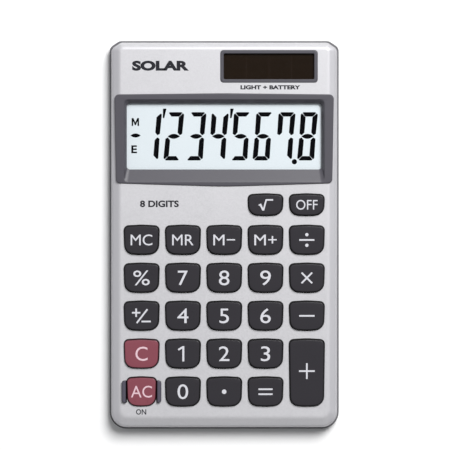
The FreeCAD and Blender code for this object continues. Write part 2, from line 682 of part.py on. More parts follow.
def build_display():
    """Window, liquid crystal display and the strip that joins it to the board."""
    inset, margin = size("polariser_inset"), size("tub_margin") - size("window_play")
    film_right, film_high = GLASS_RIGHT - inset, GLASS_HIGH - inset
    rear_glass_foot = GLASS_LOW + size("ledge_width")
    zebra_low = GLASS_LOW + size("zebra_foot")
    glass, film = size("glass_thickness"), size("polariser_thickness")
    return [
        display_plate("display_window", WINDOW_LOW, size("window_thickness"), WINDOW_RIGHT + margin,
                      WINDOW_BOTTOM - margin, WINDOW_UPPER + margin, size("window_corner")),
        display_plate("lcd_front_polariser", POLARISER_LOW, film, film_right,
                      GLASS_LOW + inset, film_high),
        display_plate("lcd_front_glass", FRONT_GLASS_LOW, glass, GLASS_RIGHT, GLASS_LOW, GLASS_HIGH),
        display_plate("lcd_rear_glass", REAR_GLASS_LOW, glass, GLASS_RIGHT, rear_glass_foot, GLASS_HIGH),
        display_plate("lcd_reflector", REFLECTOR_LOW, film, film_right,
                      rear_glass_foot + inset, film_high),
        display_plate("zebra_strip", BOARD_TOP, FRONT_GLASS_LOW - BOARD_TOP,
                      GLASS_RIGHT - size("zebra_inset"), zebra_low, zebra_low + size("zebra_width")),
    ]


def build_solar_cell():
    """Solar cell, its clear plate and its frame."""
    frame = new_body("solar_frame")
    height = size("solar_seat")
    outer = outline_sketch(frame, "SolarOutline", SOLAR_SEAT, solar_outline(ZERO, size("solar_corner")))
    pad(frame, outer, height)
    well = solar_outline(size("solar_rim"), size("solar_inner_corner"))
    pocket(frame, outline_sketch(frame, "SolarInside", SOLAR_SEAT, well), height)
    inside = solar_outline(size("solar_rim") + GAP, size("solar_inner_corner"))
    cell_low = SOLAR_SEAT - size("cell_thickness")
    return [
        frame,
        build_plate("solar_window", SOLAR_SEAT, size("solar_window_thickness"), inside),
        build_plate("solar_cell", cell_low, size("cell_thickness"), inside),
    ]


def build_lead(label, x):
    """Insulated wire from the back of the solar cell, over the board's edge, down to its top."""
    radius, bend = size("lead_diameter") / 2, size("lead_bend")
    start = SOLAR_SEAT - size("cell_thickness")
    y_start = SOLAR_LOW + size("solar_rim") + radius * 2
    y_end = BOARD_HIGH - radius * 2
    crossing = (start + BOARD_TOP) / 2
    route = [FreeCAD.Vector(x.number, y.number, z.number) for y, z in (
        (y_start, start), (y_start, crossing), (y_end, crossing), (y_end, BOARD_TOP))]
    edges, here = [], route[0]
    for before, corner, after in zip(route, route[1:], route[2:]):
        back, ahead = (before - corner).normalize(), (after - corner).normalize()
        enter, leave = corner + back * bend.number, corner + ahead * bend.number
        middle = corner + (back + ahead) * (bend.number * (1 - math.sqrt(0.5)))
        edges += [Part.LineSegment(here, enter).toShape(), Part.Arc(enter, middle, leave).toShape()]
        here = leave
    edges.append(Part.LineSegment(here, route[-1]).toShape())
    spine = Part.Wire(edges)
    section = Part.Wire(Part.Circle(route[0], FreeCAD.Vector(0, 0, 1), radius.number).toShape())
    lead = doc.addObject("Part::Feature", label)
    lead.Label = label
    lead.Shape = spine.makePipeShell([section], True, False)
    return lead


# ---------------------------------------------------------------- keys, mat and board

def build_key(key):
    """Hollow key cap with a flange under the face and a plunger on its dome."""
    body = new_body(key.label)
    name = key.label
    cap = outline_sketch(body, f"{name}_cap", FLANGE_LOW, key.outline(ZERO))
    top = pad(body, cap, key.top - FLANGE_LOW)
    soften(body, top, key.top, size("key_edge"))
    flange = outline_sketch(body, f"{name}_flange", FLANGE_LOW, key.outline(size("flange_rim")))
    pad(body, flange, size("flange_thickness"))
    side, end = key.width / 2 - size("key_wall"), key.height / 2 - size("key_wall")
    hollow = outline_sketch(body, f"{name}_hollow", FLANGE_LOW, rectangle(
        -side, side, -end, end, size("key_top_radius")))
    depth = key.top - size("key_cap") - FLANGE_LOW
    pocket(body, hollow, depth)
    plunger = circle_sketch(body, f"{name}_plunger", DOME_TOP, [(ZERO, ZERO, size("plunger_radius"))])
    pad(body, plunger, depth + size("plunger_reach"))
    bind(body, "Placement.Base.x", key.x)
    bind(body, "Placement.Base.y", key.y)
    return body


def cone(name, x, y, low, base_radius, top_radius, height):
    """Part cone that stands at a place."""
    solid = doc.addObject("Part::Cone", name)
    bind(solid, "Radius1", base_radius)
    bind(solid, "Radius2", top_radius)
    bind(solid, "Height", height)
    move(solid, x, y, low)
    return solid


def build_key_mat():
    """Silicone mat with a hollow dome under every key."""
    side = BOARD_RIGHT - size("board_clearance") / 2
    low = row_y(FULL_ROWS) - size("key_height") / 2 - size("mat_margin")
    high = SHORT_ROW + size("short_key_height") / 2 + size("mat_margin")
    base, roof = size("dome_base_radius"), size("dome_top_radius")
    depth = DOME_TOP - size("dome_roof") - BOARD_TOP
    raised = [
        block("MatField", (-side, low, BOARD_TOP), (side, MAT_STEP, MAT_TOP)),
        block("MatShortRow", (column_x(2.5), MAT_STEP, BOARD_TOP), (side, high, MAT_TOP)),
    ]
    raised += [
        cone(f"Dome_{key.label}", key.x, key.y, MAT_TOP, base, roof, size("dome_height"))
        for key in KEYS
    ]
    hollow = [
        cone(f"Hollow_{key.label}", key.x, key.y, BOARD_TOP, base - size("dome_wall"),
             roof - size("dome_wall"), depth)
        for key in KEYS
    ]
    hollow += [
        cylinder(f"MatHole{number}", x, y, BOARD_TOP, size("pin_radius") + size("hole_play"),
                 MAT_TOP - BOARD_TOP)
        for number, (x, y) in enumerate(PINS)
    ]
    return cut("key_mat", fuse("MatRaised", raised), group("MatHollows", hollow))


def build_carbon_pills():
    """Conductive pills under the dome roofs."""
    low = DOME_TOP - size("dome_roof") - size("pill_thickness")
    return group("carbon_pills", [
        cylinder(f"Pill_{key.label}", key.x, key.y, low, size("pill_radius"), size("pill_thickness"))
        for key in KEYS
    ])


def build_main_board():
    """Circuit board with holes for its screws and pins, notched at the case bosses."""
    body = new_body("main_board")
    room = size("boss_radius") + size("recess_play")
    notch_x, notch_y = SCREW_X - room, room - SCREW_Y
    shape = [
        (-notch_x, BOARD_BOTTOM, 0), (notch_x, BOARD_BOTTOM, 0), (notch_x, notch_y, 0),
        (BOARD_RIGHT, notch_y, 0), (BOARD_RIGHT, BOARD_HIGH, 0), (-BOARD_RIGHT, BOARD_HIGH, 0),
        (-BOARD_RIGHT, notch_y, 0), (-notch_x, notch_y, 0),
    ]
    pad(body, outline_sketch(body, "BoardOutline", BOARD_LOW, shape), size("board_thickness"))
    holes = [(x, y, size("board_screw_radius") + GAP) for x, y in BOARD_SCREWS]
    holes += [(x, y, size("pin_radius") + GAP) for x, y in PINS]
    pocket(body, circle_sketch(body, "BoardHoles", BOARD_LOW, holes), size("board_thickness"))
    return body


def build_chip_blob():
    """Low dome of resin over the chip, on the board's lower side."""
    low = BOARD_LOW - size("blob_height")
    blob = cone("chip_blob", column_x(2), (WINDOW_BOTTOM + WINDOW_UPPER) / 2, low,
                size("blob_crown"), size("blob_radius"), size("blob_height"))
    blob.Label = "chip_blob"
    return blob


def build_component(label, kind, column):
    """Small part soldered flat on the board, in line with the short key row."""
    x, y = column_x(column), SHORT_ROW
    length, width = size(f"{kind}_length"), size(f"{kind}_width")
    low = (x - length / 2, y - width / 2, BOARD_TOP)
    high = (x + length / 2, y + width / 2, BOARD_TOP + size(f"{kind}_height"))
    part = block(label, low, high)
    part.Label = label
    return part


# ---------------------------------------------------------------- screws and button cell

def build_screw(name, x, y, head_low, head_radius, head_height, shank_radius, length):
    """Cross-slotted screw, head down, driven upwards."""
    head = cylinder(f"{name}_head", x, y, head_low, head_radius, head_height)
    shank = cylinder(f"{name}_shank", x, y, head_low + head_height, shank_radius, length)
    solid = fuse(f"{name}_solid", [head, shank])
    arm, half = head_radius * size("slot_reach"), size("slot_width") / 2
    depth = head_low + size("slot_depth")
    cross = fuse(f"{name}_cross", [
        block(f"{name}_slot_across", (x - arm, y - half, head_low), (x + arm, y + half, depth)),
        block(f"{name}_slot_along", (x - half, y - arm, head_low), (x + half, y + arm, depth)),
    ])
    return cut(name, solid, cross)


def build_screws():
    """Four screws through the rear cover and six that hold the board."""
    case_length = BOSS_FOOT + size("case_screw_length") - size("case_screw_sink")
    case_length = case_length - size("case_screw_head_height")
    case_screws = [
        build_screw(f"case_screw_{number}", x, y, size("case_screw_sink"), size("case_screw_head"),
                    size("case_screw_head_height"), size("case_screw_radius"), case_length)
        for number, (x, y) in enumerate(CASE_SCREWS)
    ]
    board_low = BOARD_LOW - size("board_screw_head_height")
    board_screws = [
        build_screw(f"board_screw_{number}", x, y, board_low, size("board_screw_head"),
                    size("board_screw_head_height"), size("board_screw_radius"),
                    size("board_screw_length"))
        for number, (x, y) in enumerate(BOARD_SCREWS)
    ]
    return [group("case_screws", case_screws), group("board_screws", board_screws)]


def build_button_cell():
    """Button cell: can below, gasket round the shoulder, cap above."""
    wall = size("strip_thickness")
    cap_low = CELL_LOW + wall
    inner = size("gasket_radius")
    can_top = CELL_LOW + size("can_height")
    can = cut("battery_can",
              cylinder("CanOuter", CELL_X, CELL_Y, CELL_LOW, size("cell_diameter") / 2,
                       size("can_height")),
              cylinder("CanInner", CELL_X, CELL_Y, cap_low, inner, size("can_height")))
    gasket = cut("battery_gasket",
                 cylinder("GasketOuter", CELL_X, CELL_Y, cap_low, inner, can_top - cap_low),
                 cylinder("GasketInner", CELL_X, CELL_Y, cap_low, size("cap_radius"), can_top - cap_low))
    cap = cylinder("battery_cap", CELL_X, CELL_Y, cap_low, size("cap_radius"), CELL_TOP - cap_low)
    cap.Label = "battery_cap"
    return [can, gasket, cap]


def build_battery_contacts():
    """Two bent strips: one presses on the cap from above, one on the side of the can."""
    wall, width = size("strip_thickness"), size("strip_width")
    board_edge = BOARD_HIGH - wall
    foot_start = BOARD_HIGH - width / 2
    left = CELL_X - width
    arm_top = CELL_TOP + wall
    negative = fuse("battery_contact_negative", [
        block("NegativeFoot", (left, foot_start, BOARD_TOP),
              (left + width, BOARD_HIGH, BOARD_TOP + wall)),
        block("NegativeRiser", (left, board_edge, BOARD_TOP), (left + width, BOARD_HIGH, arm_top)),
        block("NegativeArm", (left, board_edge, CELL_TOP),
              (left + width, CELL_Y + width / 2, arm_top)),
    ])
    left = CELL_X + width / 3
    side_high = CELL_Y - size("cell_diameter") / 2
    side_low = side_high - wall
    positive = fuse("battery_contact_positive", [
        block("PositiveFoot", (left, foot_start, BOARD_TOP),
              (left + width, side_high, BOARD_TOP + wall)),
        block("PositiveBlade", (left - width, side_low, CELL_LOW + size("blade_foot")),
              (left + width, side_high, BOARD_TOP + wall)),
    ])
    return [negative, positive]


def build_components():
    """Parts soldered to the board's upper side, left of the short key row."""
    return [
        build_component("buffer_capacitor", "capacitor", CAPACITOR_COLUMN),
        build_component("limiter_led", "led", LED_COLUMN),
        build_component("blocking_diode", "diode", DIODE_COLUMN),
    ]


def build_all():
    """Every sub-part, each with its own label."""
    middle = (SOLAR_LEFT + SOLAR_RIGHT) / 2
    return [
        build_front_case(), build_rear_cover(), build_rear_label(),
        build_guard_rail("guard_rail_left", -1), build_guard_rail("guard_rail_right", 1),
        build_display_bezel(), *build_display(), *build_solar_cell(),
        build_lead("solar_lead_red", middle - size("lead_spacing") / 2),
        build_lead("solar_lead_black", middle + size("lead_spacing") / 2),
        *[build_key(key) for key in KEYS],
        build_key_mat(), build_carbon_pills(), build_main_board(), build_chip_blob(),
        *build_components(), *build_screws(), *build_button_cell(), *build_battery_contacts(),
    ]


subparts = build_all()
doc.recompute()
failed = [thing.Name for thing in doc.Objects if {"Invalid", "Error"} & set(thing.State)]
failed += [
    thing.Name for thing in doc.Objects if thing.TypeId == "PartDesign::Pocket"
    and not thing.Shape.Volume < thing.BaseFeature.Shape.Volume
]
if failed:
    raise RuntimeError(f"failed objects: {failed}")
os.makedirs("parts", exist_ok=True)
for part in subparts:
    if part.Shape.isNull() or not part.Shape.isValid():
        raise RuntimeError(f"bad shape: {part.Label}")
for part in subparts:
    part.Shape.exportStep(os.path.join("parts", f"{part.Label}.step"))
print(f"{len(subparts)} sub-parts written")
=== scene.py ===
"""Looks of a flat pocket calculator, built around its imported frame.

Sizes are millimetres in the frame's own axes: X to the right, Y towards the display end and Z up out of
the keys, with the origin on the resting face. Every new mesh is worked out as whole numpy arrays of rings
and loops, and is turned into metres when it is handed to Blender.
"""
import logging  # noqa: E402
import math  # noqa: E402
from dataclasses import dataclass, field, replace  # noqa: E402
from enum import Enum  # noqa: E402
from typing import Callable, Sequence  # noqa: E402

import bmesh  # noqa: E402
import bpy  # noqa: E402
import numpy as np  # noqa: E402
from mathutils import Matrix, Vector  # noqa: E402
from mathutils.geometry import tessellate_polygon  # noqa: E402


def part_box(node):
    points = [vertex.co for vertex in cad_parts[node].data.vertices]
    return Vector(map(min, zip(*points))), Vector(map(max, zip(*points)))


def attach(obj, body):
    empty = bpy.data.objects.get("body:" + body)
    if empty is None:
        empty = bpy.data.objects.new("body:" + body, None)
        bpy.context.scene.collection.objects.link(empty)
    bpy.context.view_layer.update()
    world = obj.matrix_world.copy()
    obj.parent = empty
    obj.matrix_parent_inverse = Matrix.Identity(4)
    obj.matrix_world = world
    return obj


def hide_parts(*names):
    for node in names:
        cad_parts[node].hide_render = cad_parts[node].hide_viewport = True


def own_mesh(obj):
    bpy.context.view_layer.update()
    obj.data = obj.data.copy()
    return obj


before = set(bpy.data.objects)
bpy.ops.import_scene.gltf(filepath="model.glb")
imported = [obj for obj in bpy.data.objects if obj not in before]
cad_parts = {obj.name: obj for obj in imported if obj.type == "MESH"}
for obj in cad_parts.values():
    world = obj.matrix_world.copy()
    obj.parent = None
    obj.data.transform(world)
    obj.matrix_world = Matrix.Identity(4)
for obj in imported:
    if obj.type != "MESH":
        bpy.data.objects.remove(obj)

logging.basicConfig(level=logging.INFO, format="%(message)s")
log = logging.getLogger("calculator")

MM = 0.001
CASE_BODY = "case"
CREASE = math.radians(32.0)

Corner = tuple[float, float, float]
Colour = tuple[float, float, float]


# ---------------------------------------------------------------- outlines and rings

def rounded(corners: Sequence[Corner], steps: int = 5) -> np.ndarray:
    """Closed path round (x, y, radius) corners, each turned into an arc.

    Formula: an arc of radius r touches both sides r / tan(half the corner's angle) from the corner. Its
    centre lies on the corner's bisector, r / sin(half the angle) away, and a point of it is the centre
    plus r (cos t, sin t), with t going evenly from one touching point to the other.

    Args:
        corners: Corners in order, in mm.
        steps: Equal parts that each arc is divided into.

    Returns:
        Array of (corners x (steps + 1), 2) points.
    """
    table = np.array(corners, float)
    spots, radii = table[:, :2], table[:, 2:]
    back, ahead = np.roll(spots, 1, axis=0) - spots, np.roll(spots, -1, axis=0) - spots
    back /= np.linalg.norm(back, axis=1, keepdims=True)
    ahead /= np.linalg.norm(ahead, axis=1, keepdims=True)
    half = np.arccos(np.clip((back * ahead).sum(axis=1, keepdims=True), -1, 1)) / 2
    bisector = (back + ahead) / np.linalg.norm(back + ahead, axis=1, keepdims=True)
    centre = spots + bisector * radii / np.sin(half)
    first = spots + back * radii / np.tan(half) - centre
    last = spots + ahead * radii / np.tan(half) - centre
    start, end = (np.arctan2(p[:, 1:], p[:, :1]) for p in (first, last))
    sweep = (end - start + math.pi) % math.tau - math.pi
    turn = start + sweep * np.linspace(0, 1, steps + 1)
    arcs = centre[:, None] + radii[:, None] * np.stack((np.cos(turn), np.sin(turn)), axis=-1)
    return arcs.reshape(-1, 2)


def box_path(left: float, right: float, low: float, high: float, radius: float = 0.05) -> np.ndarray:
    """Upright rectangle with its corners rounded alike."""
    return rounded([(left, low, radius), (right, low, radius), (right, high, radius), (left, high, radius)])


def circle(x: float, y: float, radius: float, count: int = 32) -> np.ndarray:
    """Circle of points: (x + r cos t, y + r sin t)."""
    turn = np.arange(count) * math.tau / count
    return np.column_stack((x + radius * np.cos(turn), y + radius * np.sin(turn)))


def lens(x: float, y: float, length: float, height: float, count: int = 12) -> np.ndarray:
    """Pointed oval: two parabolas y = +-(h / 2)(1 - t^2), with t from -1 to 1 across."""
    share = np.linspace(-1, 1, count + 1)
    lower = np.column_stack((x + share * length / 2, y - height / 2 * (1 - share**2)))
    upper = np.column_stack((x - share * length / 2, y + height / 2 * (1 - share**2)))
    return np.vstack((lower[:-1], upper[:-1]))


def at(path: np.ndarray, height: float) -> np.ndarray:
    """Ring: a flat path lifted to a height."""
    return np.column_stack((path, np.full(len(path), height)))


def soft_edge(before: np.ndarray, edge: np.ndarray, after: np.ndarray, near: float, far: float,
              steps: int = 4) -> list[np.ndarray]:
    """Rings that round an edge over.

    Formula: the quadratic curve (1 - t)^2 A + 2 t (1 - t) E + t^2 B through each point, with E on the
    sharp edge, and A and B the given distances from it towards the rings before and after it.

    Args:
        before: Ring that the surface comes from.
        edge: Ring of the sharp edge.
        after: Ring that the surface goes to.
        near: Distance from the edge at which the rounding starts.
        far: Distance from the edge at which it ends.
        steps: Parts that the rounding is divided into.

    Returns:
        The rounding's rings, in order.
    """
    def towards(ring: np.ndarray, distance: float) -> np.ndarray:
        """Points at a distance from the edge, on the straight way to a ring."""
        way = ring - edge
        return edge + way * distance / np.maximum(np.linalg.norm(way, axis=1, keepdims=True), 1e-9)

    start, end = towards(before, near), towards(after, far)
    return [
        (1 - t) ** 2 * start + 2 * t * (1 - t) * edge + t**2 * end for t in np.linspace(0, 1, steps + 1)
    ]


def fillet(path_at: Callable[[float], np.ndarray], top: float, radius: float,
           steps: int = 5) -> list[np.ndarray]:
    """Rings of a quarter round: the path drawn in by r (1 - cos t) at height top - r (1 - sin t)."""
    turns = np.linspace(0, math.pi / 2, steps + 1)
    return [at(path_at(-radius * (1 - math.cos(t))), top - radius * (1 - math.sin(t))) for t in turns]


# ---------------------------------------------------------------- meshes

@dataclass
class Draft:
    """Points and faces in mm, gathered before they become one closed mesh.

    Attributes:
        points: Blocks of points.
        faces: Faces as tuples of point numbers.
        count: How many points there are so far.
    """

    points: list[np.ndarray] = field(default_factory=list)
    faces: list[tuple[int, ...]] = field(default_factory=list)
    count: int = 0

    def add(self, points: np.ndarray, faces: np.ndarray) -> None:
        """Add a block of points and the faces that number them from 0."""
        self.points.append(points)
        self.faces.extend(map(tuple, (faces + self.count).tolist()))
        self.count += len(points)

    def loft(self, rings: Sequence[np.ndarray]) -> None:
        """Skin of quads over rings that have the same number of points."""
        around = np.arange(len(rings[0]))
        base = np.arange(len(rings) - 1)[:, None] * len(around)
        ahead = np.roll(around, -1)
        quads = np.stack((base + around, base + ahead, base + ahead + len(around),
                          base + around + len(around)), axis=-1)
        self.add(np.vstack(rings), quads.reshape(-1, 4))

    def plate(self, *rings: np.ndarray) -> None:
        """Flat face inside the first ring and outside the others."""
        triangles = tessellate_polygon([[Vector(point) for point in ring] for ring in rings])
        self.add(np.vstack(rings), np.array(triangles))

    def closed(self, rings: Sequence[np.ndarray]) -> "Draft":
        """Skin over rings, shut at both ends."""
        self.loft(rings)
        self.plate(rings[0])
        self.plate(rings[-1])
        return self

    def slab(self, low: float, high: float, outer: np.ndarray, *holes: np.ndarray) -> "Draft":
        """Flat solid between two heights, with through holes."""
        loops = (outer, *holes)
        for height in (low, high):
            self.plate(*(at(path, height) for path in loops))
        for path in loops:
            self.loft([at(path, low), at(path, high)])
        return self

    def mesh(self, name: str) -> bpy.types.Mesh:
        """The mesh in metres, with doubles merged and faces turned outwards."""
        mesh = bpy.data.meshes.new(name)
        mesh.from_pydata((np.vstack(self.points) * MM).tolist(), [], self.faces)
        return tidied(mesh)


def tidied(mesh: bpy.types.Mesh) -> bpy.types.Mesh:
    """Merge a mesh's doubles, drop its slivers and turn its faces outwards."""
    work = bmesh.new()
    work.from_mesh(mesh)
    bmesh.ops.remove_doubles(work, verts=work.verts, dist=2e-7)
    bmesh.ops.dissolve_degenerate(work, edges=work.edges, dist=1e-8)
    bmesh.ops.recalc_face_normals(work, faces=work.faces)
    work.to_mesh(mesh)
    work.free()
    return mesh


class Cut(Enum):
    """How one mesh is worked with another."""

    ADD = "UNION"
    REMOVE = "DIFFERENCE"


def worked(mesh: bpy.types.Mesh, tool: Draft, how: Cut) -> bpy.types.Mesh:
    """A mesh joined with, or cut by, a draft.

    Args:
        mesh: The mesh to start from, which is used up.
        tool: Closed solids that do not touch each other.
        how: Whether the tool's solids are added or taken away.

    Returns:
        The worked mesh.
    """
    base = bpy.data.objects.new("work", mesh)
    other = bpy.data.objects.new("tool", tool.mesh("tool"))
    for thing in (base, other):
        bpy.context.scene.collection.objects.link(thing)
    step = base.modifiers.new("step", "BOOLEAN")
    step.object, step.operation, step.solver = other, how.value, "EXACT"
    bpy.context.view_layer.update()
    result = bpy.data.meshes.new_from_object(base.evaluated_get(bpy.context.evaluated_depsgraph_get()))
    tool_mesh = other.data
    for thing in (base, other):
        bpy.data.objects.remove(thing)
    for used in (mesh, tool_mesh):
        bpy.data.meshes.remove(used)
    return result


def span(node: str) -> tuple[np.ndarray, np.ndarray]:
    """Lowest and highest corner of a CAD node, in mm."""
    low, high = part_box(node)
    return np.array(low) / MM, np.array(high) / MM


def install(name: str, mesh: bpy.types.Mesh, finish: "Finish",
            body: str = CASE_BODY, replaces: Sequence[str] = ()) -> bpy.types.Object:
    """Make a mesh a shown piece: smooth it, paint it, and ride it on its body.

    Args:
        name: The piece's name.
        mesh: Its mesh, in place, in metres.
        finish: Its finish.
        body: The body that it moves with.
        replaces: CAD nodes that it stands for.

    Returns:
        The piece.
    """
    mesh.name = name
    mesh.polygons.foreach_set("use_smooth", np.ones(len(mesh.polygons), bool))
    mesh.set_sharp_from_angle(angle=CREASE)
    mesh.materials.clear()
    mesh.materials.append(finish.material())
    piece = bpy.data.objects.new(name, mesh)
    bpy.context.scene.collection.objects.link(piece)
    even = piece.modifiers.new("even_shading", "WEIGHTED_NORMAL")
    even.keep_sharp = True
    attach(piece, body)
    if replaces:
        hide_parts(*replaces)
    log.info("%s: %d faces on %s", name, len(mesh.polygons), body)
    return piece


def dress(node: str, finish: "Finish") -> None:
    """Give a CAD node that stays its finish."""
    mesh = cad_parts[node].data
    mesh.materials.clear()
    mesh.materials.append(finish.material())
    log.info("%s: kept, dressed in %s", node, finish.name)


# ---------------------------------------------------------------- finishes

class Texture(Enum):
    """The fine structure of a surface."""

    MOULDED = "moulded_texture"
    FLAKE = "metal_flake"
    BRUSHED = "brushed_lines"
    BANDS = "cell_bands"


class Shader:
    """Short way to add and join shader nodes in one tree."""

    def __init__(self, tree: bpy.types.NodeTree) -> None:
        """Work in a node tree."""
        self.tree = tree

    def add(self, kind: str, inputs: dict | None = None, **settings: object) -> bpy.types.Node:
        """Add a node.

        Args:
            kind: Its type, without the ShaderNode in front.
            inputs: Values of, or outputs to join to, its input sockets.
            **settings: Its own properties.

        Returns:
            The node.
        """
        node = self.tree.nodes.new(f"ShaderNode{kind}")
        for key, value in settings.items():
            setattr(node, key, value)
        for key, value in (inputs or {}).items():
            if isinstance(value, bpy.types.NodeSocket):
                self.tree.links.new(value, node.inputs[key])
            else:
                node.inputs[key].default_value = value
        return node

    def math(self, operation: str, first: object, second: object = 0.0,
             third: object = 0.0) -> bpy.types.NodeSocket:
        """One step of arithmetic on values or sockets."""
        return self.add("Math", {0: first, 1: second, 2: third}, operation=operation).outputs[0]

    def blend(self, share: bpy.types.NodeSocket, first: bpy.types.NodeSocket,
              second: Colour) -> bpy.types.NodeSocket:
        """A colour that moves from the first to the second, constant, colour by a share."""
        mix = self.add("Mix", {0: share}, data_type="RGBA")
        ends = [socket for socket in mix.inputs if socket.type == "RGBA"]
        self.tree.links.new(first, ends[0])
        ends[1].default_value = (*second, 1.0)
        return next(socket for socket in mix.outputs if socket.type == "RGBA")

    def noise(self, vector: bpy.types.NodeSocket, scale: object, detail: float = 3.0) -> bpy.types.NodeSocket:
        """Noise value between 0 and 1."""
        return self.add("TexNoise", {"Vector": vector, "Scale": scale, "Detail": detail}).outputs[0]


def texture_group(texture: Texture) -> bpy.types.NodeTree:
    """The shared node group of one kind of surface structure, made once.

    Its inputs are the colour, how far tone and roughness stray, the roughness, and the waves per metre. It
    puts out the colour, the roughness and the height over the surface.
    """
    made = bpy.data.node_groups.get(texture.value)
    if made:
        return made
    tree = bpy.data.node_groups.new(texture.value, "ShaderNodeTree")
    for name, kind in (("Colour", "Color"), ("Tone", "Float"), ("Roughness", "Float"),
                       ("Spread", "Float"), ("Scale", "Float")):
        tree.interface.new_socket(name=name, in_out="INPUT", socket_type=f"NodeSocket{kind}")
    for name, kind in (("Colour", "Color"), ("Roughness", "Float"), ("Height", "Float")):
        tree.interface.new_socket(name=name, in_out="OUTPUT", socket_type=f"NodeSocket{kind}")
    shader = Shader(tree)
    given = tree.nodes.new("NodeGroupInput").outputs
    vector = shader.add("TexCoord").outputs["Object"]
    broad = shader.noise(vector, shader.math("MULTIPLY", given["Scale"], 0.03), 2.0)
    if texture is Texture.FLAKE:
        cells = shader.add("TexVoronoi", {"Vector": vector, "Scale": given["Scale"]}).outputs["Color"]
        fine = shader.add("SeparateColor", {0: cells}).outputs[0]
        height = shader.noise(vector, shader.math("MULTIPLY", given["Scale"], 0.6))
    elif texture is Texture.BRUSHED:
        drawn = shader.add("Mapping", {"Vector": vector, "Scale": (0.04, 1.0, 1.0)}).outputs[0]
        fine = height = shader.noise(drawn, given["Scale"])
    elif texture is Texture.BANDS:
        across = shader.add("Mapping", {"Vector": vector, "Scale": (0.02, 0.02, 1.0)}).outputs[0]
        fine = height = shader.noise(across, given["Scale"])
    else:
        fine = height = shader.noise(vector, given["Scale"])
    mixed = shader.math("MULTIPLY_ADD", broad, 0.4, shader.math("MULTIPLY", fine, 0.6))
    stray = shader.math("SUBTRACT", mixed, 0.5)
    tone = shader.math("MULTIPLY_ADD", stray, shader.math("MULTIPLY", given["Tone"], 2.0), 1.0)
    colour = shader.add("VectorMath", {0: given["Colour"], "Scale": tone}, operation="SCALE").outputs[0]
    rough = shader.math("MULTIPLY_ADD", stray, given["Spread"], given["Roughness"])
    out = tree.nodes.new("NodeGroupOutput").inputs
    for name, socket in (("Colour", colour), ("Roughness", rough), ("Height", height)):
        tree.links.new(socket, out[name])
    return tree


@dataclass(frozen=True)
class Finish:
    """One surface: its colour, gloss and fine structure.

    Attributes:
        name: The material's name.
        colour: Its colour, as linear light.
        roughness: Mean roughness.
        metallic: Share of it that is metal.
        tone: Share by which its lightness strays.
        spread: How far its roughness strays.
        scale: Waves of its fine structure per metre.
        relief: Depth of that structure, in mm.
        coat: Weight of a clear coat.
        alpha: How opaque it is.
        gloss: Level of its mirror reflection, 0.5 for plain plastic.
        texture: The kind of structure.
    """

    name: str
    colour: Colour
    roughness: float = 0.5
    metallic: float = 0.0
    tone: float = 0.08
    spread: float = 0.12
    scale: float = 3000.0
    relief: float = 0.01
    coat: float = 0.0
    alpha: float = 1.0
    gloss: float = 0.5
    texture: Texture = Texture.MOULDED

    def material(self) -> bpy.types.Material:
        """The material, made the first time that it is asked for."""
        title = f"{self.name}_finish"
        made = bpy.data.materials.get(title)
        if made:
            return made
        material = bpy.data.materials.new(title)
        material.use_nodes = True
        material.node_tree.nodes.clear()
        shader = Shader(material.node_tree)
        group = shader.add("Group", node_tree=texture_group(self.texture))
        for key, value in (("Colour", (*self.colour, 1.0)), ("Tone", self.tone), ("Spread", self.spread),
                           ("Roughness", self.roughness), ("Scale", self.scale)):
            group.inputs[key].default_value = value
        surface = self.surface(shader, group.outputs["Colour"])
        bump = shader.add("Bump", {"Height": group.outputs["Height"], "Distance": self.relief * MM,
                                   "Strength": 1.0})
        principled = shader.add("BsdfPrincipled", {
            "Base Color": surface, "Roughness": group.outputs["Roughness"],
            "Normal": bump.outputs[0], "Metallic": self.metallic, "Coat Weight": self.coat,
            "Coat Roughness": 0.12, "Alpha": self.alpha, "Specular IOR Level": self.gloss,
        })
        shader.add("OutputMaterial", {"Surface": principled.outputs[0]})
        return material

    def surface(self, shader: Shader, colour: bpy.types.NodeSocket) -> bpy.types.NodeSocket:
        """The base colour; a plain finish takes it as it comes from the structure."""
        return colour


@dataclass(frozen=True)
class Striped(Finish):
    """A finish crossed by thin lines at a regular pitch along X, as on a cell or a striped board.

    Attributes:
        line: Colour of the lines.
        pitch: Distance between lines, in mm.
        start: Where one line lies, in mm.
        width: Width of a line, in mm.
    """

    line: Colour = (0.1, 0.1, 0.1)
    pitch: float = 7.0
    start: float = 0.0
    width: float = 0.15

    def surface(self, shader: Shader, colour: bpy.types.NodeSocket) -> bpy.types.NodeSocket:
        """Lines where |x - start| to the nearest multiple of the pitch is under half a width."""
        place = shader.add("TexCoord").outputs["Object"]
        across = shader.add("SeparateXYZ", {0: place}).outputs[0]
        shifted = shader.math("SUBTRACT", across, self.start * MM)
        away = shader.math("PINGPONG", shifted, self.pitch * MM / 2)
        mask = shader.math("LESS_THAN", away, self.width * MM / 2)
        return shader.blend(mask, colour, self.line)


@dataclass(frozen=True)
class PaintedShade(Finish):
    """A finish with painted shade: it turns to a darker second colour along one axis, standing in for the
    shade over sloped sides or round an edge.

    Attributes:
        other: The second colour, the painted shade.
        axis: The axis, 0 for X to 2 for Z.
        near: Distance from the origin at which it begins to turn, in mm.
        far: Distance at which it has turned, in mm.
    """

    other: Colour = (0.5, 0.5, 0.5)
    axis: int = 0
    near: float = 31.2
    far: float = 32.4

    def surface(self, shader: Shader, colour: bpy.types.NodeSocket) -> bpy.types.NodeSocket:
        """Blend towards the painted shade by (|along| - near) / (far - near), held between 0 and 1."""
        place = shader.add("TexCoord").outputs["Object"]
        along = shader.math("ABSOLUTE", shader.add("SeparateXYZ", {0: place}).outputs[self.axis])
        slope = 1 / ((self.far - self.near) * MM)
        mask = shader.add("Math", {0: along, 1: slope, 2: -self.near * MM * slope},
                          operation="MULTIPLY_ADD", use_clamp=True)
        return shader.blend(mask.outputs[0], colour, self.other)


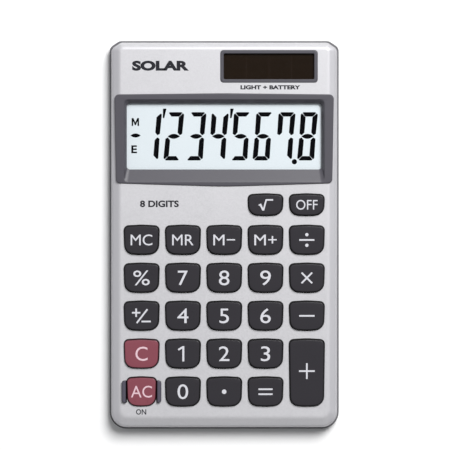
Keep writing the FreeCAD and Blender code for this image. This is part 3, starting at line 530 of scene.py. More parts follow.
class Paint:
    """The object's finishes."""

    # The silver turns darker past |x| 31.2 mm: painted shade on the sloped side bevels.
    SILVER = PaintedShade("silver_lacquer", (0.545, 0.54, 0.56), 0.5, metallic=0.3, tone=0.06, spread=0.2,
                    scale=3800, relief=0.003, coat=0.05, texture=Texture.FLAKE, other=(0.49, 0.485, 0.51))
    COVER = Finish("grey_shell", (0.11, 0.108, 0.118), 0.5, relief=0.012, scale=2600)
    FRAME = Finish("frame_plastic", (0.074, 0.071, 0.084), 0.38, relief=0.004, scale=4200, tone=0.06,
                   gloss=0.3)
    # The rails turn near-black below z 7.96 mm: painted shade on their rounded edges.
    RAIL = PaintedShade("rail_plastic", (0.075, 0.07, 0.095), 0.4, relief=0.004, scale=4200, tone=0.06, gloss=0.3,
                  other=(0.008, 0.008, 0.011), axis=2, near=7.96, far=7.84)
    # Key caps turn near-black below their face: painted shade on the rounded edges and walls. The low
    # all-clear key's painted shade starts lower.
    KEY_DARK = PaintedShade("key_charcoal", (0.033, 0.031, 0.036), 0.28, relief=0.0015, scale=4600, tone=0.1,
                      spread=0.06, gloss=0.12, other=(0.003, 0.003, 0.003), axis=2, near=7.94, far=7.84)
    KEY_RED = PaintedShade("key_muted_red", (0.22, 0.062, 0.082), 0.3, relief=0.0015, scale=4600, tone=0.08,
                     spread=0.06, gloss=0.2, other=(0.035, 0.006, 0.01), axis=2, near=7.94, far=7.84)
    KEY_LOW = replace(KEY_RED, name="key_muted_red_low", near=7.74, far=7.64)
    INK_PALE = Finish("ink_off_white", (0.60, 0.60, 0.64), 0.5, tone=0.03, relief=0.002, gloss=0.2)
    INK_PINK = Finish("ink_pale_pink", (0.68, 0.48, 0.53), 0.5, tone=0.03, relief=0.002, gloss=0.2)
    INK_DARK = Finish("ink_dark_grey", (0.02, 0.02, 0.025), 0.6, tone=0.05, relief=0.002, gloss=0.1)
    WINDOW = Finish("clear_window", (0.01, 0.011, 0.012), 0.08, alpha=0.03, tone=0.01, spread=0.02,
                    relief=0.0, scale=500)
    SCREEN = Finish("display_film", (0.70, 0.765, 0.80), 0.45, tone=0.02, spread=0.05, scale=2500,
                    relief=0.001)
    SEGMENT = Finish("display_segments", (0.003, 0.003, 0.004), 0.7, tone=0.1, relief=0.0005, gloss=0.0)
    GLASS = Finish("display_glass", (0.75, 0.85, 0.82), 0.1, alpha=0.35, tone=0.02, relief=0.0)
    MIRROR = Finish("display_mirror", (0.75, 0.77, 0.78), 0.35, metallic=0.6, texture=Texture.BRUSHED)
    RUBBER = Finish("striped_rubber", (0.6, 0.35, 0.35), 0.7, texture=Texture.BANDS)
    CELL = Striped("solar_silicon", (0.014, 0.0085, 0.005), 0.3, tone=0.3, spread=0.05, scale=900,
                   relief=0.001, gloss=0.04, texture=Texture.BRUSHED, line=(0.022, 0.014, 0.010),
                   pitch=6.865, start=13.62, width=0.22)
    LEAD_RED = Finish("lead_red", (0.45, 0.03, 0.03), 0.45)
    LEAD_BLACK = Finish("lead_black", (0.02, 0.02, 0.02), 0.45)
    SILICONE = Finish("silicone_mat", (0.45, 0.46, 0.48), 0.65, tone=0.05)
    CARBON = Finish("carbon_pill", (0.015, 0.015, 0.016), 0.7, tone=0.2)
    BOARD = Striped("board_laminate", (0.02, 0.13, 0.05), 0.35, coat=0.3, line=(0.05, 0.24, 0.1),
                    pitch=2.54, width=0.5)
    RESIN = Finish("black_resin", (0.012, 0.012, 0.013), 0.22, scale=900, relief=0.02)
    TAN = Finish("tan_ceramic", (0.45, 0.28, 0.15), 0.5)
    BLACK = Finish("black_epoxy", (0.02, 0.02, 0.022), 0.5)
    SCREW = Finish("screw_steel", (0.30, 0.29, 0.28), 0.32, metallic=1.0, tone=0.15,
                   texture=Texture.BRUSHED)
    STEEL = Finish("cell_steel", (0.62, 0.62, 0.62), 0.25, metallic=1.0, texture=Texture.BRUSHED)
    NYLON = Finish("gasket_nylon", (0.55, 0.55, 0.5), 0.5)
    FOIL = Finish("label_foil", (0.52, 0.53, 0.55), 0.34, metallic=0.7, tone=0.12, scale=2400,
                  texture=Texture.BRUSHED)


# ---------------------------------------------------------------- lettering

@dataclass(frozen=True)
class Word:
    """A printed word, as outlines of the built-in font.

    Attributes:
        text: What it says.
        x: Middle of the word.
        y: Middle of its capitals.
        height: Height of its capitals.
        width: Width that it is stretched to, if given.
        weight: How far its strokes are fattened, as a share of the letter size.
    """

    text: str
    x: float
    y: float
    height: float
    width: float | None = None
    weight: float = 0.0

    def outline(self, text: str, depth: float) -> bpy.types.Mesh:
        """The mesh of a text at letter size 1."""
        curve = bpy.data.curves.new("letters", "FONT")
        curve.body, curve.offset, curve.extrude, curve.resolution_u = text, self.weight, depth, 4
        shape = bpy.data.objects.new("letters", curve)
        bpy.context.scene.collection.objects.link(shape)
        bpy.context.view_layer.update()
        mesh = bpy.data.meshes.new_from_object(
            shape.evaluated_get(bpy.context.evaluated_depsgraph_get()))
        bpy.data.objects.remove(shape)
        bpy.data.curves.remove(curve)
        return mesh

    @staticmethod
    def points(mesh: bpy.types.Mesh) -> np.ndarray:
        """A mesh's points."""
        flat = np.empty(len(mesh.vertices) * 3)
        mesh.vertices.foreach_get("co", flat)
        return flat.reshape(-1, 3)

    def mesh(self, low: float, high: float) -> bpy.types.Mesh:
        """The word as a thin closed mesh between two heights, in metres."""
        capital = self.outline("H", 0.0)
        tall = np.ptp(self.points(capital)[:, 1])
        bpy.data.meshes.remove(capital)
        mesh = self.outline(self.text, 0.5)
        points = self.points(mesh)
        across = np.ptp(points[:, 0])
        scale = self.height / tall
        wide = self.width / across if self.width else scale
        middle = (points[:, 0].max() + points[:, 0].min()) / 2
        placed = np.column_stack((
            self.x + (points[:, 0] - middle) * wide,
            self.y + points[:, 1] * scale - self.height / 2,
            np.where(points[:, 2] > 0, high, low),
        ))
        mesh.vertices.foreach_set("co", (placed * MM).ravel())
        mesh.update()
        return tidied(mesh)


class Sign(Enum):
    """A legend that is drawn with bars rather than set in type."""

    PLUS = "plus"
    MINUS = "minus"
    TIMES = "times"
    DIVIDE = "divide"
    EQUALS = "equals"
    POINT = "point"
    CHANGE = "change"
    ROOT = "root"
    ONE = "one"


def bar(start: tuple[float, float], end: tuple[float, float], width: float) -> np.ndarray:
    """Straight stroke: the four corners start and end, plus and minus half the width across."""
    first, last = np.array(start, float), np.array(end, float)
    way = (last - first) / np.linalg.norm(last - first)
    across = np.array([-way[1], way[0]]) * width / 2
    ends = (first - across, last - across, last + across, first + across)
    return rounded([(*point, width * 0.12) for point in ends], 2)


def cross(arm: float, width: float, turn: float = 0.0) -> np.ndarray:
    """Plus sign of twelve corners, turned by an angle in degrees."""
    half, angle = width / 2, math.radians(turn)
    quarter = np.array([(arm, -half), (arm, half), (half, half)])
    parts = []
    for step in range(4):
        c, s = math.cos(step * math.pi / 2 + angle), math.sin(step * math.pi / 2 + angle)
        parts.append(quarter @ np.array([[c, s], [-s, c]]))
    return rounded([(*point, width * 0.08) for point in np.vstack(parts)], 2)


def sign_loops(sign: Sign, size: float, width: float) -> list[np.ndarray]:
    """Loops of a sign about its own middle.

    Args:
        sign: Which sign.
        size: Half of its width.
        width: Width of its strokes.

    Returns:
        Closed loops that do not cross.
    """
    if sign is Sign.PLUS:
        return [cross(size, width)]
    if sign is Sign.TIMES:
        return [cross(size * 1.08, width, 45.0)]
    if sign is Sign.MINUS:
        return [bar((-size, 0), (size, 0), width)]
    if sign is Sign.EQUALS:
        return [bar((-size, y), (size, y), width) for y in (-size * 0.35, size * 0.35)]
    if sign is Sign.DIVIDE:
        dots = [circle(0, y, width, 20) for y in (-size * 0.7, size * 0.7)]
        return [bar((-size, 0), (size, 0), width), *dots]
    if sign is Sign.POINT:
        return [circle(0, 0, size * 0.3, 24)]
    if sign is Sign.CHANGE:
        return [
            cross(size * 0.58, width) + (-size * 0.74, size * 0.43),
            bar((-size * 0.66, -size), (size * 0.82, size * 0.92), width),
            bar((0, -size * 0.78), (size * 1.28, -size * 0.78), width),
        ]
    if sign is Sign.ONE:
        corners = [(-0.07, -1.0), (0.19, -1.0), (0.19, 1.0), (-0.04, 1.0), (-0.66, 0.62), (-0.55, 0.4),
                   (-0.07, 0.7)]
        return [rounded([(x * size, y * size, width * 0.1) for x, y in corners], 2)]
    under = 0.98 - width / size
    corners = [
        (-1.12, 0.02), (-0.72, 0.22), (-0.38, -0.62), (0.02, 0.98), (1.22, 0.98),
        (1.22, under), (0.2, under), (-0.22, -1.0), (-0.52, -1.0),
        (-0.9, -0.12), (-1.06, -0.2),
    ]
    return [rounded([(x * size, y * size * 0.92, width * 0.1) for x, y in reversed(corners)], 2)]


# ---------------------------------------------------------------- keys

@dataclass(frozen=True)
class KeySpec:
    """What sets one key apart from the others.

    Attributes:
        name: Its CAD node, body and piece name.
        legend: Its legend: type, or a sign.
        height: Height of the legend's capitals, or half of a sign's size.
        width: Width of the legend, if it is stretched.
        lift: How far the legend stands above the key's middle.
        red: Whether it is one of the two red keys.
    """

    name: str
    legend: str | Sign
    height: float
    width: float | None = None
    lift: float = 0.0
    red: bool = False


KEYS = (
    KeySpec("key_square_root", Sign.ROOT, 1.9), KeySpec("key_off", "OFF", 2.9, 6.5),
    KeySpec("key_memory_clear", "MC", 3.25, 6.6), KeySpec("key_memory_recall", "MR", 3.25, 6.5),
    KeySpec("key_memory_minus", "M−", 3.25, 6.6), KeySpec("key_memory_plus", "M+", 3.25, 6.8),
    KeySpec("key_divide", Sign.DIVIDE, 2.3), KeySpec("key_percent", "%", 4.4, 5.0),
    KeySpec("key_seven", "7", 4.4, 3.05), KeySpec("key_eight", "8", 4.4, 3.2),
    KeySpec("key_nine", "9", 4.4, 3.25), KeySpec("key_multiply", Sign.TIMES, 2.1),
    KeySpec("key_change_sign", Sign.CHANGE, 2.2), KeySpec("key_four", "4", 4.4, 3.4),
    KeySpec("key_five", "5", 4.4, 2.9), KeySpec("key_six", "6", 4.4, 3.2),
    KeySpec("key_minus", Sign.MINUS, 2.35), KeySpec("key_clear", "C", 4.2, 3.7, red=True),
    KeySpec("key_one", Sign.ONE, 2.33), KeySpec("key_two", "2", 4.4, 3.2),
    KeySpec("key_three", "3", 4.4, 2.85), KeySpec("key_all_clear", "AC", 3.5, 6.4, red=True),
    KeySpec("key_zero", "0", 4.4, 3.25), KeySpec("key_point", Sign.POINT, 2.3),
    KeySpec("key_equals", Sign.EQUALS, 2.15), KeySpec("key_plus", Sign.PLUS, 2.4, lift=0.5),
)


@dataclass
class KeyCap:
    """One hollow key cap with its flange, plunger and printed legend."""

    spec: KeySpec
    width: float = 10.6
    height: float = 8.85
    short_height: float = 6.55
    narrow_width: float = 9.0
    tall_height: float = 20.37
    taper: float = 0.28
    crown: float = 0.32
    top_radius: float = 1.3
    bottom_radius: float = 2.7
    flange_low: float = 4.95
    flange_top: float = 5.65
    flange_rim: float = 0.55
    edge: float = 0.42
    wall: float = 1.3
    cap: float = 1.2
    plunger_radius: float = 1.8
    plunger_foot: float = 4.7
    stroke: float = 0.5
    sag: float = 0.012
    soft: float = 0.12

    def __post_init__(self) -> None:
        """Take the key's place and top from its CAD node."""
        low, high = span(self.spec.name)
        self.x, self.y = (low[:2] + high[:2]) / 2
        self.top = high[2]
        deep = high[1] - low[1] - 2 * self.flange_rim
        if self.spec.name == "key_all_clear":
            self.width = self.narrow_width
        if deep > 1.5 * self.height:
            self.height = self.tall_height
        elif deep < 0.9 * self.height:
            self.height = self.short_height

    def path(self, grow: float, steps: int = 5) -> np.ndarray:
        """Keystone outline grown by a distance: bowed ends, narrower and rounder at the near end."""
        side, end = self.width / 2 + grow, self.height / 2 + grow
        near, shoulder = side - self.taper, end - self.crown
        bend, small, large = self.width * 2, self.top_radius + grow, self.bottom_radius + grow
        x, y = self.x, self.y
        return rounded([
            (x - near, y - shoulder, large), (x, y - end, bend), (x + near, y - shoulder, large),
            (x + side, y + shoulder, small), (x, y + end, bend), (x - side, y + shoulder, small),
        ], steps)

    def build(self) -> bpy.types.Mesh:
        """Cap: flange, wall, quarter round edge and a face that rises a little to its middle."""
        top = self.top - self.sag
        rim, shoulder = self.path(self.flange_rim), self.path(self.flange_rim - self.soft)
        draft = Draft()
        rings = [at(rim, self.flange_low), at(rim, self.flange_top - self.soft),
                 at(shoulder, self.flange_top), at(self.path(0.0), self.flange_top)]
        rings += fillet(self.path, top - 0.03, self.edge, 6)
        rings += [at(self.path(-self.edge - 0.5), top - self.sag), at(self.path(-self.edge - 1.2), top)]
        draft.loft(rings)
        draft.plate(rings[-1])
        side, end = self.width / 2 - self.wall, self.height / 2 - self.wall
        roof = self.top - self.cap
        hollow = box_path(self.x - side, self.x + side, self.y - end, self.y + end, self.top_radius)
        post = circle(self.x, self.y, self.plunger_radius, 28)
        draft.plate(rings[0], at(hollow, self.flange_low))
        draft.loft([at(hollow, self.flange_low), at(hollow, roof)])
        draft.plate(at(hollow, roof), at(post, roof))
        draft.loft([at(post, roof), at(post, self.plunger_foot)])
        draft.plate(at(post, self.plunger_foot))
        return draft.mesh(self.spec.name)

    def legend(self) -> bpy.types.Mesh:
        """Printed legend, a hair above the cap's face."""
        low, high = self.top - 0.03, self.top - 0.004
        if isinstance(self.spec.legend, Sign):
            draft = Draft()
            for loop in sign_loops(self.spec.legend, self.spec.height, self.stroke):
                draft.slab(low, high, loop + (self.x, self.y + self.spec.lift))
            return draft.mesh("legend")
        spec = self.spec
        return Word(spec.legend, self.x, self.y + spec.lift, spec.height, spec.width).mesh(low, high)

    def dress(self) -> None:
        """Put the cap and its legend on the key's body."""
        name = self.spec.name
        finish, slot = (Paint.KEY_RED, "key_red") if self.spec.red else (Paint.KEY_DARK, "key_charcoal")
        # The all-clear key sits lower, so its painted edge shade starts lower.
        if name == "key_all_clear":
            finish = Paint.KEY_LOW
        ink = Paint.INK_PINK if self.spec.red else Paint.INK_PALE
        install(f"{name}_cap", self.build(), finish, name, [name])
        install(f"{name}_legend", self.legend(), ink, name)


# ---------------------------------------------------------------- case

@dataclass
class Case:
    """Top shell and rear cover: their outlines, edges, openings and bosses."""

    keys: list[KeyCap]
    parting: float = 3.0
    groove: float = 0.12
    step: float = 0.45
    shoulder: float = 6.15
    shoulder_inset: float = 1.05
    face: float = 7.0
    face_insets: tuple[float, float, float] = (3.2, 2.35, 3.65)
    clip_across: float = 3.0
    clip_along: float = 2.0
    clip_radius: float = 2.2
    ceiling: float = 5.7
    floor: float = 1.2
    cavity_side: float = 33.0
    cavity_end: float = 57.225
    cavity_radius: float = 2.4
    corner: float = 5.2
    clearance: float = 0.2
    hole_edge: float = 0.14
    screw_x: float = 30.2
    screw_y: float = 54.425
    boss_foot: float = 2.2
    boss_radius: float = 1.6
    pilot_radius: float = 0.75
    pilot_top: float = 5.6
    rim_inset: float = 1.2
    rim_height: float = 1.5
    label_side: float = 17.0
    label_end: float = 8.0
    label_corner: float = 0.65
    overrun: float = 0.5

    def __post_init__(self) -> None:
        """Take the case's overall size from its CAD node."""
        _, high = span("rear_cover")
        self.side, self.end = float(high[0]), float(high[1])

    def path(self, side: float, top: float, bottom: float, radius: float, share: float) -> np.ndarray:
        """Case outline drawn in by insets: round lower corners, clipped upper corners.

        Args:
            side: Inset of both sides.
            top: Inset of the display end.
            bottom: Inset of the near end.
            radius: Radius of the lower corners.
            share: Share of the full clip that the upper corners have.

        Returns:
            The path.
        """
        x, high, low = self.side - side, self.end - top, bottom - self.end
        across, along, clip = (size * share for size in (self.clip_across, self.clip_along, self.clip_radius))
        return rounded([
            (-x, low, radius), (x, low, radius), (x, high - along, clip), (x - across, high, clip),
            (across - x, high, clip), (-x, high - along, clip),
        ], 8)

    def even(self, inset: float, share: float = 1.0) -> np.ndarray:
        """Case outline drawn in alike all round."""
        return self.path(inset, inset, inset, self.corner - inset, share)

    def screws(self) -> list[tuple[float, float]]:
        """Where the four case screws stand."""
        return [(self.screw_x * side, self.screw_y * end) for side in (-1, 1) for end in (-1, 1)]

    def hollow(self, draft: Draft, mouth: np.ndarray, end: float) -> None:
        """Add a shell's mating face, inside its mouth ring, and its cavity, from there to a height."""
        side, far = self.cavity_side, self.cavity_end
        cavity = box_path(-side, side, -far, far, self.cavity_radius)
        draft.plate(mouth, at(cavity, self.parting))
        draft.loft([at(cavity, self.parting), at(cavity, end)])
        draft.plate(at(cavity, end))

    def front(self) -> bpy.types.Mesh:
        """Top shell: sloped wall, bevel and face, each edge rounded, then every opening cut through."""
        foot = at(self.even(self.step), self.parting + self.groove)
        shoulder = at(self.even(self.shoulder_inset, 0.8), self.shoulder)
        face = at(self.path(*self.face_insets, 2.4, 0.25), self.face)
        middle = at(self.path(4.6, 3.75, 5.05, 1.6, 0.2), self.face)
        draft = Draft()
        rings = [at(self.even(self.step + self.groove), self.parting), foot]
        rings += soft_edge(foot, shoulder, face, 0.55, 0.5)
        rings += soft_edge(shoulder, face, middle, 0.55, 0.7, 5)
        draft.loft(rings)
        draft.plate(rings[-1])
        self.hollow(draft, rings[0], self.ceiling)
        bosses = Draft()
        for x, y in self.screws():
            boss = circle(x, y, self.boss_radius, 24)
            bosses.closed([at(boss, z) for z in (self.boss_foot, self.ceiling + 0.3)])
        mesh = worked(draft.mesh("front_case"), bosses, Cut.ADD)
        return worked(worked(mesh, self.openings(), Cut.REMOVE), self.slots(), Cut.REMOVE)

    def opening(self, path_at: Callable[[float], np.ndarray], top: float) -> list[np.ndarray]:
        """Rings of a cutter whose walls flare out at the face in a quarter round."""
        flare = fillet(lambda grow: path_at(-grow), top, self.hole_edge, 4)
        return [at(path_at(0.0), self.ceiling - self.overrun), *flare, at(path_at(self.hole_edge), top + 1.0)]

    def openings(self) -> Draft:
        """Cutters of the key holes, the display's seat and well, and the solar cell's seat and well."""
        draft = Draft()
        for key in self.keys:
            draft.closed(self.opening(lambda grow, key=key: key.path(self.clearance + grow), self.face))
        low, high = self.ceiling - self.overrun, self.face + 1.0
        for well, seat, floor in (
            (box_path(-30.75, 30.75, 18.825, 41.175, 0.65), DisplayFrame().path(0.05), 6.2),
            (SolarUnit().path(1.0, 0.4), SolarUnit().path(-0.05, 1.0), 6.3),
        ):
            draft.plate(at(well, low))
            draft.loft([at(well, low), at(well, floor)])
            draft.plate(at(seat, floor), at(well, floor))
            draft.loft([at(seat, floor), at(seat, high)])
            draft.plate(at(seat, high))
        return draft

    def slots(self) -> Draft:
        """Cutters of the two guard rail slots and the pilot holes."""
        draft = Draft()
        for side in (-1, 1):
            path = GuardRails().path(side, 0.25)
            draft.closed([at(path, self.ceiling - self.overrun), at(path, self.face + 1.0)])
        for x, y in self.screws():
            pilot = circle(x, y, self.pilot_radius, 20)
            draft.closed([at(pilot, z) for z in (self.boss_foot - 0.2, self.pilot_top)])
        return draft

    def rear(self) -> bpy.types.Mesh:
        """Rear cover: quarter-elliptic rim, drawn in by i (1 - sqrt(1 - u^2)) at height h (1 - u)."""
        fall = np.sin(np.linspace(math.pi / 2, 0, 9))
        shares = 1 - np.sqrt(np.maximum(0.0, 1 - fall**2))
        rings = [at(self.even(self.rim_inset * share, 1 - 0.3 * share), self.rim_height * (1 - u))
                 for share, u in zip(shares, fall)]
        rings += [at(self.even(0.0), self.parting - self.groove), at(self.even(self.groove), self.parting)]
        draft = Draft()
        draft.loft(rings)
        draft.plate(rings[0])
        self.hollow(draft, rings[-1], self.floor)
        raised = Draft()
        for side in (-1, 1):
            inner, outer = sorted((side * 32.15, side * 32.95))
            raised.slab(self.floor - 0.2, 3.8, box_path(inner, outer, -44.0, 44.0, 0.1))
        for x, y in self.screws():
            raised.slab(self.floor - 0.2, self.boss_foot - 0.01, circle(x, y, 2.35, 28))
        sunk = Draft()
        for x, y in self.screws():
            levels = ((-0.2, 1.62), (0.0, 1.62), (0.12, 1.5), (0.9, 1.5))
            rings = [at(circle(x, y, radius, 28), z) for z, radius in levels]
            rings += [at(circle(x, y, 0.85, 28), z) for z in (0.9, self.boss_foot + 0.3)]
            sunk.closed(rings)
        sunk.slab(-0.2, 0.15, self.label_path(0.1))
        return worked(worked(draft.mesh("rear_cover"), raised, Cut.ADD), sunk, Cut.REMOVE)

    def label_path(self, grow: float) -> np.ndarray:
        """Outline of the label, grown by a distance."""
        side, end = self.label_side + grow, self.label_end + grow
        return box_path(-side, side, -end, end, self.label_corner)

    def label(self) -> bpy.types.Mesh:
        """Blank foil label with a slightly rounded edge."""
        levels = ((-0.03, 0.03), (0.0, 0.06), (0.0, 0.15))
        return Draft().closed([at(self.label_path(grow), z) for grow, z in levels]).mesh("rear_label")

    def dress(self) -> None:
        """Put both shells and the label on the case."""
        install("front_shell", self.front(), Paint.SILVER, replaces=["front_case"])
        install("rear_shell", self.rear(), Paint.COVER, replaces=["rear_cover"])
        install("foil_label", self.label(), Paint.FOIL, replaces=["rear_label"])


@dataclass
class CaseScrews:
    """Four cross-recessed screws in the rear cover."""

    places: list[tuple[float, float]]
    head_low: float = 0.3
    head_top: float = 0.9
    head_radius: float = 1.35
    shank_radius: float = 0.75
    shank_top: float = 5.5
    tip_radius: float = 0.35
    tip_height: float = 0.4

    def build(self) -> bpy.types.Mesh:
        """Screws: a profile of radius against height turned about each axis, then the recess cut."""
        levels = ((self.head_low, 1.0), (self.head_low + 0.06, 1.22), (self.head_low + 0.2, 1.34),
                  (self.head_top, self.head_radius), (self.head_top, self.shank_radius),
                  (self.shank_top - self.tip_height, self.shank_radius),
                  (self.shank_top, self.tip_radius))
        solid, recess = Draft(), Draft()
        for x, y in self.places:
            solid.closed([at(circle(x, y, radius, 28), z) for z, radius in levels])
            recess.closed([
                at(cross(arm, width, 20.0) + (x, y), z)
                for z, arm, width in ((0.1, 0.98, 0.36), (self.head_low + 0.35, 0.5, 0.3))
            ])
        return worked(solid.mesh("case_screws"), recess, Cut.REMOVE)

    def dress(self) -> None:
        """Put the screws on the case."""
        install("case_screws_turned", self.build(), Paint.SCREW, replaces=["case_screws"])


@dataclass
class GuardRails:
    """Rails that stand either side of the all-clear key."""

    x: float = -25.1
    y: float = -47.6
    near: float = 4.7
    far: float = 6.0
    half_length: float = 3.4
    corner: float = 0.8
    tight_corner: float = 0.1
    low: float = 5.7
    top: float = 8.0
    edge: float = 0.35

    def path(self, side: int, inward: float = 0.0, grow: float = 0.0) -> np.ndarray:
        """Outline of one rail: square towards the key, rounded away from it."""
        low, high = self.y - self.half_length - grow, self.y + self.half_length + grow
        near, far = self.x + (self.near - inward - grow) * side, self.x + (self.far + grow) * side
        small, large = self.tight_corner, self.corner + grow
        if side > 0:
            return rounded([(near, low, small), (far, low, large), (far, high, large), (near, high, small)])
        return rounded([(far, low, large), (near, low, small), (near, high, small), (far, high, large)])

    def dress(self) -> None:
        """Build both rails and put them on the case."""
        for side, node in ((-1, "guard_rail_left"), (1, "guard_rail_right")):
            def path_at(grow: float, side: int = side) -> np.ndarray:
                """This rail's outline, grown by a distance."""
                return self.path(side, 0.0, grow)
            rings = [at(self.path(side), self.low), *fillet(path_at, self.top, self.edge)]
            install(f"{node}_moulded", Draft().closed(rings).mesh(node), Paint.RAIL,
                    replaces=[node])


# ---------------------------------------------------------------- display

@dataclass
class DisplayFrame:
    """Raised frame round the display, with a well that slopes down to the window."""

    far: float = 33.35
    near: float = 32.85
    high: float = 43.025
    low: float = 14.725
    bow_top: float = 0.35
    bow_bottom: float = 1.0
    corner: float = 1.3
    bow: float = 150.0
    seat: float = 6.2
    foot: float = 5.9
    top: float = 7.4
    window: tuple[float, ...] = (-29.65, 29.65, 19.925, 40.075, 1.0)
    rim: tuple[float, ...] = (-30.45, 30.45, 16.1, 41.125, 1.3)
    beyond: tuple[float, ...] = (-31.5, 31.5, 14.9, 42.3, 1.6)
    tub: tuple[float, ...] = (-30.7, 30.7, 18.875, 41.125, 0.65)
    outer_soft: float = 0.28

    def path(self, grow: float) -> np.ndarray:
        """Frame outline: narrower at the keys, with both long edges bowed outwards."""
        high_end = self.high - self.bow_top + grow
        low_end = self.low + self.bow_bottom - grow
        far, near, corner = self.far + grow, self.near + grow, self.corner + grow
        return rounded([
            (-near, low_end, corner), (0, self.low - grow, self.bow), (near, low_end, corner),
            (far, high_end, corner), (0, self.high + grow, self.bow), (-far, high_end, corner),
        ], 8)

    def build(self) -> bpy.types.Mesh:
        """Frame: outer wall, flat rim, sloping well, and the tub that drops into the case."""
        window, rim = box_path(*self.window), box_path(*self.rim)
        beyond, tub = box_path(*self.beyond), box_path(*self.tub)
        draft = Draft()
        inner = [at(window, self.foot), at(window, self.foot + 0.12)]
        inner += soft_edge(inner[-1], at(rim, self.top), at(beyond, self.top), 0.9, 0.2, 6)
        outer = soft_edge(at(self.path(-1.0), self.top), at(self.path(0.0), self.top),
                          at(self.path(0.0), self.seat), self.outer_soft, self.outer_soft, 5)
        outer.append(at(self.path(0.0), self.seat))
        draft.loft(inner)
        draft.plate(outer[0], inner[-1])
        draft.loft(outer)
        draft.plate(outer[-1], at(tub, self.seat))
        draft.loft([at(tub, self.seat), at(tub, self.foot)])
        draft.plate(at(tub, self.foot), inner[0])
        return draft.mesh("display_bezel")

    def dress(self) -> None:
        """Put the frame on the case."""
        install("display_frame", self.build(), Paint.FRAME, replaces=["display_bezel"])


@dataclass
class Display:
    """Clear window, display layers, and the figures that the display shows."""

    figures: str = "12345678"
    first_x: float = -20.0
    pitch: float = 6.79
    base: float = 22.7
    height: float = 14.7
    half_pitch: float = 1.825
    upright: float = 1.56
    level: float = 1.32
    slant: float = math.tan(math.radians(4.7))
    low: float = 5.045
    top: float = 5.07
    lit: dict[str, str] = field(default_factory=lambda: {
        "1": "bc", "2": "abged", "3": "abgcd", "4": "fgbc", "5": "afgcd", "6": "afgecd",
        "7": "afbc", "8": "abcdefg",
    })

    def segments(self) -> dict[str, np.ndarray]:
        """The seven segments of an upright figure, round its centre line, from its foot up.

        Uprights have one square end, at the outer corner, and one pointed end at the waist; level bars are
        cut at 45 degrees, and the middle one is pointed at both ends.
        """
        x, w, h = self.half_pitch, self.upright / 2, self.level
        waist, top = self.height / 2, self.height
        upper = [(x - w, waist + 1.15, .25), (x - 0.05, waist + 0.3, .22), (x + w - 0.1, waist + 0.75, .25),
                 (x + w, top - 0.75, .3), (x + w - 0.3, top - 0.28, .25), (x - w, top - h - 0.22, .15)]
        level = [(-x + 0.62, top - h, .12), (x - 0.62, top - h, .12), (x + 0.32, top - 0.16, .15),
                 (x - 0.1, top, .3), (-x + 0.1, top, .3), (-x - 0.32, top - 0.16, .15)]
        parts = {"b": rounded(upper, 3), "a": rounded(level, 3),
                 "g": lens(0, waist, 2 * x + 0.1, h * 1.12)}
        flip_x, flip_y = np.array([-1.0, 1.0]), np.array([1.0, -1.0])
        parts["c"] = (parts["b"] - (0, waist)) * flip_y + (0, waist)
        parts["d"] = (parts["a"] - (0, waist)) * flip_y + (0, waist)
        parts["f"], parts["e"] = parts["b"] * flip_x, parts["c"] * flip_x
        return parts

    def slanted(self, path: np.ndarray, right: float) -> np.ndarray:
        """Lean a path: x moves by the height above the upper uprights' middle times the slant."""
        lean = (path[:, 1] - self.height * 0.76) * self.slant
        return np.column_stack((right - self.half_pitch + path[:, 0] + lean, self.base + path[:, 1]))

    def build(self) -> bpy.types.Mesh:
        """Figures, marks between them, and the overflow mark."""
        draft, parts = Draft(), self.segments()
        for place, figure in enumerate(self.figures):
            for name in self.lit[figure]:
                draft.slab(self.low, self.top, self.slanted(parts[name], self.first_x + place * self.pitch))
        for x in (-18.2, 2.3):
            tick = [(x - 0.5, 35.6, .1), (x - 0.05, 35.6, .1), (x + 0.62, 38.5, .1), (x - 0.45, 38.5, .15)]
            draft.slab(self.low, self.top, rounded(tick, 2))
        draft.slab(self.low, self.top, circle(21.4, 22.3, 0.8, 24))
        draft.slab(self.low, self.top, lens(-27.0, 30.3, 3.1, 1.25))
        draft.slab(self.low, self.top, self.memory_mark(-28.2, 33.2))
        return draft.mesh("figures")

    def memory_mark(self, x: float, y: float, wide: float = 2.25, tall: float = 2.4,
                    stroke: float = 0.46) -> np.ndarray:
        """Capital M from its lower left corner, as one loop of thirteen corners."""
        half, gap = wide / 2, 0.16
        corners = [
            (0, 0), (stroke, 0), (stroke, tall * 0.62), (half - gap, 0.25), (half + gap, 0.25),
            (wide - stroke, tall * 0.62), (wide - stroke, 0), (wide, 0), (wide, tall),
            (wide - stroke * 1.2, tall), (half, tall * 0.45), (stroke * 1.2, tall), (0, tall),
        ]
        return rounded([(x + px, y + py, 0.03) for px, py in corners], 1)

    def dress(self) -> None:
        """Put the figures on the display and dress its layers."""
        install("display_figures", self.build(), Paint.SEGMENT)
        error_mark = Word("E", -27.45, 26.2, 2.4, 1.7, 0.03)
        install("display_error_mark", error_mark.mesh(self.low, self.top), Paint.SEGMENT)
        low, high = span("display_window")

        def pane(grow: float) -> np.ndarray:
            """The window's outline, grown by a distance."""
            return box_path(low[0] - grow, high[0] + grow, low[1] - grow, high[1] + grow, 0.65)

        rings = [at(pane(0.0), low[2]), *fillet(pane, high[2], 0.1, 2)]
        install("window_pane", Draft().closed(rings).mesh("pane"), Paint.WINDOW,
                replaces=["display_window"])
        for node, finish in (
            ("lcd_front_polariser", Paint.SCREEN), ("lcd_front_glass", Paint.GLASS),
            ("lcd_rear_glass", Paint.GLASS), ("lcd_reflector", Paint.MIRROR),
            ("zebra_strip", Paint.RUBBER),
        ):
            dress(node, finish)


